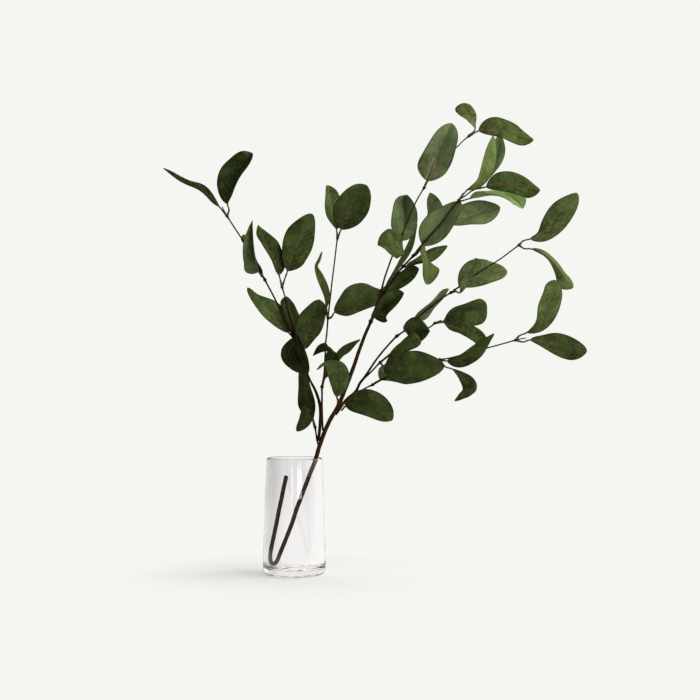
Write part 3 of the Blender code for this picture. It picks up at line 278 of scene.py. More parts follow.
     [(414, 259.5), (425, 252.5), (436, 246.5)],
     [(414, 266), (426, 264.5), (439, 255)], 24, (-1, 1), "top", {}),
    ("centre_leaf_06", (459, 200, -44), [],
     [(467, 190, 4), (477, 180, 7), (485, 162, 9), (493, 135.5, 8)],
     [(472, 185.5), (479.5, 170), (487, 149)],
     [(481, 187.5), (491, 176), (496.5, 158), (497, 146)], 28, (1, -1), "under", {}),
    ("centre_leaf_07", (478, 188, -52), [],
     [(482, 184, -3), (491, 170, -8), (498, 153, -14), (501, 133, -20)],
     [(483, 172), (488, 155), (494, 140)],
     [(491, 178), (500, 166), (504.5, 150), (503, 140)], 22, (-1, 1), "top", {}),
    ("centre_leaf_08", (478, 188, -52), [(481, 188, 1)],
     [(486, 187, 3), (503, 184, 5), (522, 184.5, 8), (540, 190.5, 10)],
     [(491, 177), (506, 171), (523, 176.5), (535, 184.5)],
     [(492, 190), (508, 191.5), (523, 197), (535, 196)], 30, (-1, 1), "top", {}),
    ("centre_leaf_09", (459, 200, -44), [(460, 201, -3)],
     [(470, 198.5, -10), (487, 194.2, -16), (504, 195.2, -21), (517, 200.5, -24), (523, 208.5, -22)],
     [(474, 193.5), (487, 191.3), (504, 189), (517.5, 189.8), (524, 194.5), (526.3, 201)],
     [(480, 197), (496, 196.8), (509, 200.8), (517, 206.5)], 24, (-1, 1), "top", {"turn": 0.30}),
    # right spray
    ("right_leaf_01", (451, 292.5, -24), [],
     [(459, 287, -6), (473, 279.5, -12), (489, 274, -20), (507, 271, -26)],
     [(457, 276), (466, 262.5), (480, 258.7), (495, 262)],
     [(467, 288.5), (480, 286.5), (494, 281.5), (504, 275.5)], 30, (-1, 1), "top", {}),
    ("right_leaf_02", (451, 292.5, -24), [(456, 291.5, 4)],
     [(459.7, 293, 8), (465, 281, 16), (471, 269.5, 25), (476.5, 258, 34)],
     [(460.5, 284), (465, 272), (470.5, 260.5)],
     [(464, 291), (472, 280), (480, 268), (480.5, 262)], 21, (1, -1), "top", {"ab": (0.65, 0.45)}),
    ("right_leaf_03", (415, 320.3, -13.5), [],
     [(413, 320, -5), (425, 311, -9), (438, 299.5, -13), (449, 289, -17)],
     [(419, 312), (430, 302), (441, 292)],
     [(424, 320), (432, 314), (438, 304), (446, 294.5)], 24, (1, -1), "top", {}),
    ("right_leaf_04", (397, 336, -8), [],
     [(405, 331, 14), (413, 328.5, 24), (422, 328, 35), (430, 331, 45)],
     [(409, 323), (418, 317), (426, 321.5)],
     [(409, 339), (418, 342), (427, 338)], 26, (1, -1), "top", {}),
    ("right_leaf_05", (380, 362.5, 6), [],
     [(388, 356.5, 10), (397, 349, 22), (408, 343, 36), (421, 343.5, 48)],
     [(391, 350), (402, 339.5), (411, 331.5), (418, 337)],
     [(395, 356), (404, 353), (416, 349.5)], 26, (-1, 1), "top", {}),
    ("right_leaf_06", (380, 362.5, 6), [],
     [(384.5, 366.5, 9), (404, 367, 16), (425, 366.5, 20), (444.5, 366, 22)],
     [(389, 356), (403, 352), (418, 350.5), (434, 356.5)],
     [(388, 377), (403, 384.3), (414, 383.4), (424, 381), (436, 375.2)], 33, (1, 1), "top", {"ab": (0.5, 0.6), "wave": 0.4}),
    ("right_leaf_07", (435, 323, 4), [],
     [(443.5, 321, -7), (456, 314.5, -18), (470, 310.5, -29), (487, 309.5, -38)],
     [(448, 311), (458, 305.5), (470, 301), (481, 299.5)],
     [(456, 322), (470, 326), (480, 324.5), (488.5, 317)], 28, (1, -1), "top", {"ab": (0.6, 0.4)}),
    ("right_leaf_08", (435, 323, 4), [],
     [(443.5, 322.5, 0), (451, 326, -2), (460, 328.5, -5), (472, 333, -9), (487.5, 340, -13)],
     [(452, 312), (460, 309.5), (467, 317), (474, 325.5), (483, 332)],
     [(451, 330.5), (462, 336), (471, 339.7), (478, 344)], 32, (-1, 1), "top", {}),
    ("right_leaf_09", (519, 245, -40), [(523, 241, 1)],
     [(530, 239, 2), (541, 234.5, 2), (551, 224, 1), (562, 210, 0), (577, 193, -4)],
     [(536, 234), (542.5, 220), (550, 207.5), (562.5, 196), (571, 193)],
     [(540, 242.5), (552.5, 239), (565, 227.5), (575, 212.5), (578.5, 199)], 29, (-1, 1), "top", {}),
    ("right_leaf_10", (519, 245, -40), [(524, 248.5, 0)],
     [(531, 249, 1), (546, 256, 3), (558, 268, 5), (566, 279, 6), (573, 288, 6)],
     [(538, 248), (552, 257.5), (563, 270), (573, 282)],
     [(540, 253.5), (550, 264), (557, 278), (562, 290)], 24, (-1, -1), "top", {}),
    # lower right spray
    ("lower_leaf_01", (373, 384.5, 6), [],
     [(380, 380, -4), (391, 375, -10), (405, 371, -18), (421, 371, -26)],
     [(378, 372), (384, 365), (394, 360), (408, 358)],
     [(381, 381), (390, 383.2), (400, 383.7), (412, 382)], 27, (-1, 1), "top", {"ab": (0.5, 0.7), "wave": 0.3}),
    ("lower_leaf_02", (440, 359.5, 16), [],
     [(447, 361, 8), (461, 359, 14), (476, 350, 20), (494, 333.5, 24)],
     [(455, 357), (464, 351.5), (475, 344.5), (487, 337)],
     [(455, 367.5), (468, 366), (481, 356), (489, 344)], 26, (1, -1), "top", {}),
    ("lower_leaf_03", (440, 359.5, 16), [(445, 366.5, 0)],
     [(452, 369, 3), (461.5, 377, 10), (467.5, 386, 17), (465, 394.2, 23), (454.8, 401.2, 27)],
     [(458, 370.5), (468, 376.5), (476, 385.5), (476.5, 393), (469, 398), (461, 400.4)],
     [(455, 373.8), (459.5, 380.5), (460.6, 387), (459.9, 393), (457.8, 397.5)], 23, (1, -1), "top", {}),
    ("lower_leaf_04", (516, 340, 30), [(519, 336, 1)],
     [(527, 332.5, 3), (541, 320, 6), (550, 302, 8), (555, 280, 8)],
     [(534, 324), (538, 308), (544, 290), (549, 281.5)],
     [(538, 333), (552, 322), (561, 304), (561, 287)], 28, (1, -1), "top", {}),
    ("lower_leaf_05", (516, 340, 30), [(523, 342, 0)],
     [(530, 340, 1), (548, 343, 2), (567, 347, 2), (587, 351, 0)],
     [(537, 336), (556, 333), (573, 337.5), (584, 344.5)],
     [(539, 346), (552, 353), (566, 359.5), (578, 359)], 27, (-1, 1), "top", {}),
]


# ------------------------------------------------------------------- geometry
def dense_path(points, dense=16):
    """Smooth curve through the points; every dense-th sample is a given one."""
    p = np.asarray(points, float)
    q = np.vstack([2 * p[0] - p[1], p, 2 * p[-1] - p[-2]])
    gap = np.linalg.norm(np.diff(q[:, :3], axis=0), axis=1)
    step = np.maximum(gap, 1e-6) ** 0.5
    out = []
    for i in range(1, len(q) - 2):
        t1 = step[i - 1]
        t2 = t1 + step[i]
        t3 = t2 + step[i + 1]
        for t in np.linspace(t1, t2, dense, endpoint=False):
            a1 = ((t1 - t) * q[i - 1] + t * q[i]) / t1
            a2 = ((t2 - t) * q[i] + (t - t1) * q[i + 1]) / (t2 - t1)
            a3 = ((t3 - t) * q[i + 1] + (t - t2) * q[i + 2]) / (t3 - t2)
            b1 = ((t2 - t) * a1 + t * a2) / t2
            b2 = ((t3 - t) * a2 + (t - t1) * a3) / (t3 - t1)
            out.append(((t2 - t) * b1 + (t - t1) * b2) / (t2 - t1))
    out.append(q[-2])
    return np.array(out)


def lengths(c):
    return np.concatenate([[0.0], np.cumsum(np.linalg.norm(np.diff(c[:, :3], axis=0), axis=1))])


def sample(c, where):
    """Values of the curve at the given distances along it."""
    run = lengths(c)
    return np.stack([np.interp(where, run, c[:, k]) for k in range(c.shape[1])], axis=1)


def unit(a):
    return a / np.maximum(np.linalg.norm(a, axis=-1, keepdims=True), 1e-12)


def ramp(x, xs, ys):
    """Smooth interpolation without overshoot, flat beyond both ends."""
    if len(xs) == 1:
        return ys[0]
    h = np.diff(xs)
    s = np.diff(ys) / h
    m = np.zeros(len(xs))
    for i in range(1, len(xs) - 1):
        if s[i - 1] * s[i] > 0:
            w1 = 2 * h[i] + h[i - 1]
            w2 = h[i] + 2 * h[i - 1]
            m[i] = (w1 + w2) / (w1 / s[i - 1] + w2 / s[i])
    x = min(max(x, xs[0]), xs[-1])
    i = int(min(max(np.searchsorted(xs, x, side="right") - 1, 0), len(h) - 1))
    t = (x - xs[i]) / h[i]
    return ((2 * t ** 3 - 3 * t ** 2 + 1) * ys[i] + (t ** 3 - 2 * t ** 2 + t) * h[i] * m[i]
            + (3 * t ** 2 - 2 * t ** 3) * ys[i + 1] + (t ** 3 - t ** 2) * h[i] * m[i + 1])


def outline(t, a, b):
    """Half width of a blade along its length, 1 at the widest place."""
    peak = a / (a + b)
    t = min(max(t, 0.0), 1.0)
    return (t / peak) ** a * ((1 - t) / (1 - peak)) ** b


def to_chart(p):
    q = np.asarray(p, float) - np.array(EYE)
    depth = q[1] * math.cos(TILT) + q[2] * math.sin(TILT)
    rise = q[2] * math.cos(TILT) - q[1] * math.sin(TILT)
    return np.array([CHART_MIDDLE + CHART_FOCUS * q[0] / depth,
                     CHART_MIDDLE - CHART_FOCUS * rise / depth])


def even_out(ts, values):
    """Values at 41 places along the blade, with abrupt changes softened."""
    raw = np.array([ramp(k / 40.0, ts, values) for k in range(41)])
    pad = np.concatenate([np.full(6, raw[0]), raw, np.full(6, raw[-1])])
    bell = np.exp(-0.5 * (np.arange(-6, 7) / 2.4) ** 2)
    return np.convolve(pad, bell / bell.sum(), mode="valid")


def half_blade(points, chart, tang, full_width, a, b, side, sign):
    """Lean and spread of one half of a blade from the run of its margin."""
    found = []
    last = len(chart) - 1
    for u, v in points:
        gap = np.array([u, v]) - chart
        along = np.abs(np.sum(gap * tang, axis=1))
        away = np.linalg.norm(gap, axis=1)
        i = int(np.argmin(along + 0.15 * away))
        across = tang[i][1] * gap[i][0] - tang[i][0] * gap[i][1]
        t = i / last
        ratio = side * across / (max(outline(t, a, b), 0.25) * full_width / 2.0)
        found.append((t, min(max(ratio, -1.0), 1.5)))
    found.sort()
    kept = [found[0]]
    for row in found[1:]:
        if row[0] - kept[-1][0] > 0.04:
            kept.append(row)
    ratio = even_out([k[0] for k in kept], [k[1] for k in kept])
    return np.arccos(np.clip(ratio, -1.0, 1.0)) * sign, np.maximum(ratio, 1.0)


def leaf_setup(leaf):
    """Stalk, midrib, lean tables and width of one leaf."""
    name, node, shaft, rib, left, right, width, lean, face, more = leaf
    depth = node[2]
    points = [at(*node)] + [at(u, v, depth + dd) for u, v, dd in shaft + rib]
    path = dense_path(points)
    cut = 16 * (1 + len(shaft))
    stalk, blade = path[:cut + 1], path[cut:]
    total = lengths(blade)[-1]
    blade = sample(blade, np.linspace(0.0, total, 121))
    a, b = more.get("ab", (0.70, 0.62))
    if "angles" in more:
        ts = [k[0] for k in more["angles"]]
        halves = [(even_out(ts, [math.radians(k[j]) for k in more["angles"]]), np.ones(41))
                  for j in (1, 2)]
    else:
        chart = np.array([to_chart(p) for p in blade])
        tang = unit(np.gradient(chart, axis=0))
        halves = [half_blade(left, chart, tang, width, a, b, 1, lean[0]),
                  half_blade(right, chart, tang, width, a, b, -1, lean[1])]
    tangent = unit(np.gradient(blade, axis=0))
    sight = unit(np.array(EYE) - blade)
    up = sight - np.sum(sight * tangent, axis=1)[:, None] * tangent
    if more.get("carry"):
        for i in range(1, len(up)):
            up[i] = up[i - 1] - np.dot(up[i - 1], tangent[i]) * tangent[i]
            up[i] /= np.linalg.norm(up[i])
    up = unit(up)
    half = width * (-EYE[1] - depth - rib[len(rib) // 2][2]) / CHART_FOCUS / 2.0
    return {"name": name, "stalk": stalk, "blade": blade, "tangent": tangent,
            "up": up, "side": np.cross(up, tangent), "half": half, "ab": (a, b),
            "halves": halves, "face": face, "more": more,
            "phase": sum(ord(ch) * (k + 3) for k, ch in enumerate(name)) % 97}


CURL = math.radians(12)


def row_at(L, t):
    """Midrib point, direction, sideways and upward directions at t."""
    x = min(max(t, 0.0), 1.0) * 120
    i = int(min(x, 119))
    f = x - i
    mix = [L[k][i] * (1 - f) + L[k][i + 1] * f for k in ("blade", "tangent", "side", "up")]
    return mix[0], unit(mix[1]), unit(mix[2]), unit(mix[3])


def blade_point(L, t, s, row=None):
    """Middle surface of the blade; s runs -1 (left) .. 0 .. 1 (right)."""
    c, tg, sd, up = row if row is not None else row_at(L, t)
    lean, spread = L["halves"][0 if s < 0 else 1]
    at_t = min(max(t, 0.0), 1.0) * 40
    k = int(min(at_t, 39))
    f = at_t - k
    al = lean[k] * (1 - f) + lean[k + 1] * f
    hw = L["half"] * outline(t, *L["ab"]) * (spread[k] * (1 - f) + spread[k + 1] * f)
    sgn = 1.0 if s < 0 else -1.0
    x = abs(s)
    cu = L["more"].get("curl", 1.0) * CURL
    across = (math.sin(al + cu) - math.sin(al + cu - 2 * cu * x)) / (2 * cu)
    rise = (math.cos(al + cu - 2 * cu * x) - math.cos(al + cu)) / (2 * cu)
    wave = math.sin(2 * math.pi * (1.35 * t + (0.37 if s < 0 else 0.0)) + L["phase"])
    wave *= L["more"].get("wave", 0.9) * x * x * min(1.0, t / 0.15) * min(1.0, (1 - t) / 0.12)
    return (c + hw * (across * sgn * sd + rise * up)
            + wave * (math.cos(al) * up - math.sin(al) * sgn * sd))


def blade_normal(L, t, s):
    """Direction square to the blade, on the side turned to the viewer."""
    row = row_at(L, t)
    e = 0.08
    if s == 0:
        a = blade_point(L, t, -e, row)
        b = blade_point(L, t, e, row)
    else:
        a = blade_point(L, t, max(s - e, -1.0) if s < 0 else max(s - e, 0.001), row)
        b = blade_point(L, t, min(s + e, -0.001) if s < 0 else min(s + e, 1.0), row)
    return unit(np.cross(row[1], unit(b - a)) * -1.0)


# --------------------------------------------------------------- solid pieces
def thin_out(c, tol):
    """Fewest samples of a curve that keep within tol of it."""
    keep = [0, len(c) - 1]
    stack = [(0, len(c) - 1)]
    while stack:
        i, j = stack.pop()
        if j - i < 2:
            continue
        seg = c[j] - c[i]
        w = c[i + 1:j] - c[i]
        f = np.clip(w @ seg / max(seg @ seg, 1e-12), 0, 1)
        far = np.linalg.norm(w - f[:, None] * seg, axis=1)
        k = int(np.argmax(far))
        if far[k] > tol:
            m = i + 1 + k
            keep.append(m)
            stack += [(i, m), (m, j)]
    return sorted(keep)


def carried(c, first=None):
    """Directions, and a sideways and an upward vector carried along."""
    tg = unit(np.gradient(c[:, :3], axis=0))
    if first is None:
        first = np.array([0.0, -1.0, 0.0])
    up = [unit(first - np.dot(first, tg[0]) * tg[0])]
    for t in tg[1:]:
        up.append(unit(up[-1] - np.dot(up[-1], t) * t))
    up = np.array(up)
    return tg, np.cross(up, tg), up


COLLAR_RISE = 0.65
COLLAR_HALF = 1.9


def stem_rows(rows, nodes, tol=0.10):
    """Rows of a stem in millimetres, with a low collar at every leaf node."""
    c = dense_path([list(at(u, v, d)) + [r] for u, v, d, r in rows])
    run = lengths(c)
    keep = [run[i] for i in thin_out(c, tol)]
    marks = []
    for node in nodes:
        far = np.linalg.norm(c[:, :3] - node, axis=1)
        i = int(np.argmin(far))
        if far[i] < 2.5:
            marks.append(min(max(run[i], COLLAR_HALF + 0.3), run[-1] - COLLAR_HALF - 0.3))
    marks = sorted(set(round(m, 2) for m in marks))
    marks = [m for k, m in enumerate(marks) if k == 0 or m - marks[k - 1] > 2 * COLLAR_HALF + 0.6]
    keep = [w for w in keep if all(abs(w - m) > COLLAR_HALF + 0.5 for m in marks)]
    extra = {}
    for m in marks:
        for off, add in ((-COLLAR_HALF, 0.0), (-COLLAR_HALF + 0.7, COLLAR_RISE),
                         (COLLAR_HALF - 0.7, COLLAR_RISE), (COLLAR_HALF, 0.0)):
            extra[m + off] = add
    where = sorted(set(keep) | set(extra) | {0.0, run[-1]})
    out = sample(c, where)
    out[:, 3] += [extra.get(w, 0.0) for w in where]
    return out


BLADE_STATIONS = (0.035, 0.13, 0.28, 0.46, 0.64, 0.80, 0.93)
STALK_RADIUS = 0.75
RIB_HALF = 0.50
BLADE_HALF = 0.32
MARGIN_HALF = 0.10


STEMS = {
    "main_stem": [MAIN_STEM],
    "centre_spray_stem": [CENTRE_STEM, CENTRE_TWIG],
    "left_spray_stem": [LEFT_STEM, LEFT_BRANCH],
    "upright_spray_stem": [UPRIGHT_STEM],
    "left_twig_stem": [TWIG_STEM],
    "right_spray_stem": [RIGHT_STEM, RIGHT_BRANCH],
    "lower_right_spray_stem": [LOWER_STEM],
}


def clearance(p, c):
    """Distance from a point to the skin of a tube of x, y, z, radius rows."""
    a, b = c[:-1], c[1:]
    seg = b[:, :3] - a[:, :3]
    f = np.sum((p - a[:, :3]) * seg, axis=1) / np.maximum(np.sum(seg * seg, axis=1), 1e-9)
    f = np.clip(f, 0, 1)
    near = a[:, :3] + f[:, None] * seg
    return float(np.min(np.linalg.norm(near - p, axis=1) - (a[:, 3] + f * (b[:, 3] - a[:, 3]))))


def stalk_start(L, tubes, gap=0.42):
    """Distance along the stalk from which on it clears every given tube."""
    run = lengths(L["stalk"])
    start = 0.0
    for where in np.arange(0.0, run[-1] - 1.0, 0.2):
        p = sample(L["stalk"], [where])[0]
        if min(clearance(p, c) for c in tubes) < STALK_RADIUS + gap:
            start = where + 0.2
    return start


def stalk_tube(L, start):
    run = lengths(L["stalk"])
    c = sample(L["stalk"], np.linspace(start, run[-1], 12))
    return np.hstack([c, np.full((12, 1), STALK_RADIUS)])


def all_stem_rows():
    nodes = [at(*leaf[1]) for leaf in LEAVES]
    return {k: [stem_rows(rows, nodes) for rows in v] for k, v in STEMS.items()}


def all_leaves(stems):
    """Every leaf with the place where its stalk starts beside the stem."""
    tubes = [c for v in stems.values() for c in v]
    out = []
    for leaf in LEAVES:
        L = leaf_setup(leaf)
        start = stalk_start(L, tubes)
        tubes.append(stalk_tube(L, start))
        out.append((L, start))
    return out


# ---------------------------------------------------------------- node helper
class Graph:
    """Small helper for building a material's nodes."""

    def __init__(self, name):
        self.made = bpy.data.materials.new(name)
        self.made.use_nodes = True
        self.tree = self.made.node_tree
        self.shader = self.tree.nodes["Principled BSDF"]

    def node(self, kind, **settings):
        n = self.tree.nodes.new(kind)
        for key, value in settings.items():
            setattr(n, key, value)
        return n

    def put(self, socket, value):
        if isinstance(value, bpy.types.NodeSocket):
            self.tree.links.new(value, socket)
        else:
            socket.default_value = value

    def math(self, op, a, b=0.0, c=0.0, clamp=False):
        n = self.node("ShaderNodeMath", operation=op, use_clamp=clamp)
        for k, v in enumerate((a, b, c)):
            self.put(n.inputs[k], v)
        return n.outputs[0]

    def attribute(self, name):
        return self.node("ShaderNodeAttribute", attribute_name=name).outputs["Fac"]

    def span(self, value, low, high, to_low=0.0, to_high=1.0, soft=True):
        n = self.node("ShaderNodeMapRange", interpolation_type="SMOOTHSTEP" if soft else "LINEAR")
        for k, v in enumerate((value, low, high, to_low, to_high)):
            self.put(n.inputs[k], v)
        return n.outputs[0]

    def noise(self, where, scale, detail=3.0, rough=0.55, distortion=0.0):
        n = self.node("ShaderNodeTexNoise")
        self.put(n.inputs["Vector"], where)
        n.inputs["Scale"].default_value = scale
        n.inputs["Detail"].default_value = detail
        n.inputs["Roughness"].default_value = rough
        n.inputs["Distortion"].default_value = distortion
        return n.outputs["Fac"]

    def join(self, x, y, z):
        n = self.node("ShaderNodeCombineXYZ")
        for k, v in enumerate((x, y, z)):
            self.put(n.inputs[k], v)
        return n.outputs[0]

    def mix(self, share, a, b, kind="MIX"):
        n = self.node("ShaderNodeMix", data_type="RGBA", blend_type=kind)
        self.put(n.inputs[0], share)
        for k, v in ((6, a), (7, b)):
            if isinstance(v, tuple) and len(v) == 3:
                v = (*v, 1.0)
            self.put(n.inputs[k], v)
        return n.outputs[2]

    def scaled(self, colour, by):
        n = self.node("ShaderNodeVectorMath", operation="SCALE")
        self.put(n.inputs[0], colour if isinstance(colour, bpy.types.NodeSocket) else colour[:3])
        self.put(n.inputs["Scale"], by)
        return n.outputs[0]

    def bump(self, height, distance, strength=1.0, onto=None):
        n = self.node("ShaderNodeBump")
        n.inputs["Strength"].default_value = strength
        n.inputs["Distance"].default_value = distance
        self.put(n.inputs["Height"], height)
        if onto is not None:
            self.put(n.inputs["Normal"], onto)
        return n.outputs[0]


# ------------------------------------------------------------------ materials
def leaf_cloth(name, under):
    """Printed cloth: mottled green, brown midrib at the base, faint side veins."""
    g = Graph(name)
    t = g.attribute("run")              # 0 at the blade's base, 1 at its tip
    along = g.attribute("along")        # mm from the base
    across = g.attribute("across")      # mm from the midrib, signed
    edge = g.attribute("edge")          # 0 on the midrib, 1 on the margin
    # the leaf's brightness step: partly its own tone, partly painted light and shade
    tone = g.attribute("tone")
    brown = g.attribute("around")       # how strongly the print browns about the midrib
    seed = g.attribute("seed")
    away = g.math("ABSOLUTE", across)
    where = g.join(along, across, seed)

    blotch = g.noise(where, 0.048, 2.0, 0.45)
    patch = g.noise(where, 0.20, 3.0, 0.55)
    speck = g.noise(where, 1.3, 3.0, 0.6)
    grain = g.noise(where, 5.0, 2.0, 0.5)

    # side veins leave the midrib at a slant and bend towards the tip
    bend = g.math("MULTIPLY", away, g.math("MULTIPLY_ADD", away, 0.022, 0.62))
    wander = g.math("MULTIPLY", g.math("SUBTRACT", patch, 0.5), 2.4)
    side_shift = g.math("MULTIPLY", g.math("GREATER_THAN", across, 0.0), 3.1)
    place = g.math("ADD", g.math("SUBTRACT", along, bend), g.math("ADD", wander, side_shift))
    turn = g.math("ABSOLUTE", g.math("SUBTRACT", g.math("FRACT", g.math("DIVIDE", place, 7.4)), 0.5))
    line = g.span(turn, 0.0, 0.095, 1.0, 0.0)
    fade_out = g.math("MULTIPLY", g.span(edge, 0.55, 0.95, 1.0, 0.0), g.span(t, 0.03, 0.12))
    veins = g.math("MULTIPLY", line, g.math("MULTIPLY", fade_out, g.span(t, 0.80, 0.97, 1.0, 0.0)))
    rib_width = g.span(t, 0.0, 0.85, 1.55, 0.45, soft=False)
    rib = g.span(away, g.math("MULTIPLY", rib_width, 0.35), rib_width, 1.0, 0.0)
    halo = g.span(away, 0.2, 4.2, 1.0, 0.0)

    if under:
        deep, middle, pale = (0.066, 0.096, 0.026), (0.112, 0.155, 0.046), (0.180, 0.228, 0.080)
    else:
        deep, middle, pale = (0.022, 0.0330, 0.0076), (0.0425, 0.061, 0.0160), (0.108, 0.137, 0.050)
    colour = g.mix(g.span(blotch, 0.32, 0.64), deep, middle)
    # the pale patches and specks are partly the print's own mottle and partly painted sheen standing in for soft
    # highlights
    colour = g.mix(g.math("MULTIPLY", g.span(patch, 0.38, 0.80), 0.40), colour, pale)
    colour = g.mix(g.math("MULTIPLY", g.span(speck, 0.46, 0.80), 0.16), colour, pale)
    # the colour is scaled by that step of painted light and shade, and made a little darker towards the blade's base
    lift = g.math("MULTIPLY", tone, g.span(grain, 0.3, 0.7, 0.95, 1.05))
    lift = g.math("MULTIPLY", lift, g.span(t, 0.0, 0.30, 0.71, 0.965))
    colour = g.scaled(colour, lift)
    # painted sheen: the palest, best-lit leaves are mixed towards grey, more on their pale patches, standing in for a
    # soft sheen
    painted_sheen_grey = g.math("MULTIPLY", g.span(tone, 1.3, 3.0, 0.0, 0.46), g.span(patch, 0.3, 0.7, 0.65, 1.25))
    colour = g.mix(painted_sheen_grey, colour, (0.118, 0.138, 0.092))
    if not under:
        # the print dries out to a pinkish tan about the lower midrib
        print_fade = g.span(t, 0.30, 0.62, 1.0, 0.0)
        flush = g.math("MULTIPLY", g.math("MULTIPLY", halo, print_fade), g.span(patch, 0.34, 0.60))
        flush = g.math("MULTIPLY", flush, brown)
        ink = g.math("MULTIPLY_ADD", tone, 0.36, 0.52)
        colour = g.mix(g.math("MULTIPLY", flush, 0.85), colour, g.scaled((0.185, 0.136, 0.100), ink))
        near = g.math("MULTIPLY", g.math("MULTIPLY", veins, print_fade), g.span(edge, 0.30, 0.75, 1.0, 0.0))
        near = g.math("MULTIPLY", near, brown)
        colour = g.mix(g.math("MULTIPLY", near, 0.85), colour, g.scaled((0.155, 0.098, 0.062), ink))
        colour = g.mix(g.math("MULTIPLY", veins, 0.30), colour, (0.100, 0.128, 0.046))
        rib_brown = g.math("MULTIPLY", rib, g.span(t, 0.42, 0.80, 0.92, 0.0))
        rib_brown = g.math("MULTIPLY", rib_brown, g.math("MULTIPLY_ADD", brown, 0.75, 0.25))
        colour = g.mix(g.math("MULTIPLY", rib, g.span(t, 0.30, 0.60, 0.0, 0.40)), colour, (0.095, 0.118, 0.044))
        colour = g.mix(rib_brown, colour, g.scaled((0.105, 0.054, 0.029), g.math("MULTIPLY_ADD", tone, 0.24, 0.74)))
    else:
        colour = g.mix(g.math("MULTIPLY", veins, 0.30), colour, (0.215, 0.275, 0.105))
        colour = g.mix(g.math("MULTIPLY", rib, 0.60), colour, (0.205, 0.250, 0.100))
    margin = g.math("MULTIPLY", g.span(edge, 0.88, 0.98), 0.50)
    colour = g.mix(margin, colour, tuple(0.42 * c for c in deep))
    g.put(g.shader.inputs["Base Color"], colour)

    # fine weave, sunken veins on top and raised ones underneath, soft puckers
    thread = 2 * math.pi / 0.42
    weave = g.math("MULTIPLY", g.math("SINE", g.math("MULTIPLY", along, thread)),
                   g.math("SINE", g.math("MULTIPLY", across, thread)))
    relief = g.math("MULTIPLY", veins, 0.10 if under else -0.12)
    relief = g.math("ADD", relief, g.math("MULTIPLY", rib, 0.28 if under else -0.20))
    relief = g.math("ADD", relief, g.math("MULTIPLY", patch, 0.62))
    relief = g.math("ADD", relief, g.math("MULTIPLY", blotch, 1.60))
    relief = g.math("ADD", relief, g.math("MULTIPLY", speck, 0.085))
    relief = g.math("ADD", relief, g.math("MULTIPLY", weave, 0.010))
    g.put(g.shader.inputs["Normal"], g.bump(relief, MM, 0.85))
    g.put(g.shader.inputs["Roughness"], g.span(patch, 0.3, 0.7, 0.46, 0.62))
    g.shader.inputs["Specular IOR Level"].default_value = 0.0
    return g.made


def stem_cover(name, dark, warm, rough, scale=1.0):
    """Moulded cover over wire: dull brown with streaks along it."""
    g = Graph(name)
    along = g.attribute("along")
    around = g.attribute("around")
    seed = g.attribute("seed")
    tone = g.attribute("tone")
    where = g.join(g.math("MULTIPLY", along, 0.16), around, seed)
    streak = g.noise(where, 1.5 * scale, 4.0, 0.6)
    lump = g.noise(g.join(along, g.math("MULTIPLY", around, 1.6), seed), 0.42, 3.0, 0.6)
    pit = g.noise(g.join(along, g.math("MULTIPLY", around, 2.2), seed), 1.9, 3.0, 0.65)
    colour = g.mix(g.span(streak, 0.34, 0.66), dark, warm)
    colour = g.mix(g.math("MULTIPLY", g.span(lump, 0.55, 0.75), 0.5), colour, tuple(1.6 * c for c in warm))
    colour = g.mix(g.math("MULTIPLY", g.span(pit, 0.25, 0.42, 1.0, 0.0), 0.6), colour, tuple(0.5 * c for c in dark))
    g.put(g.shader.inputs["Base Color"], g.scaled(colour, tone))
    relief = g.math("ADD", g.math("MULTIPLY", lump, 0.45), g.math("MULTIPLY", pit, 0.16))
    relief = g.math("ADD", relief, g.math("MULTIPLY", streak, 0.30))
    g.put(g.shader.inputs["Normal"], g.bump(relief, MM, 0.8))
    g.put(g.shader.inputs["Roughness"], g.span(pit, 0.3, 0.7, rough - 0.08, rough + 0.10))
    g.shader.inputs["Specular IOR Level"].default_value = 0.0
    return g.made


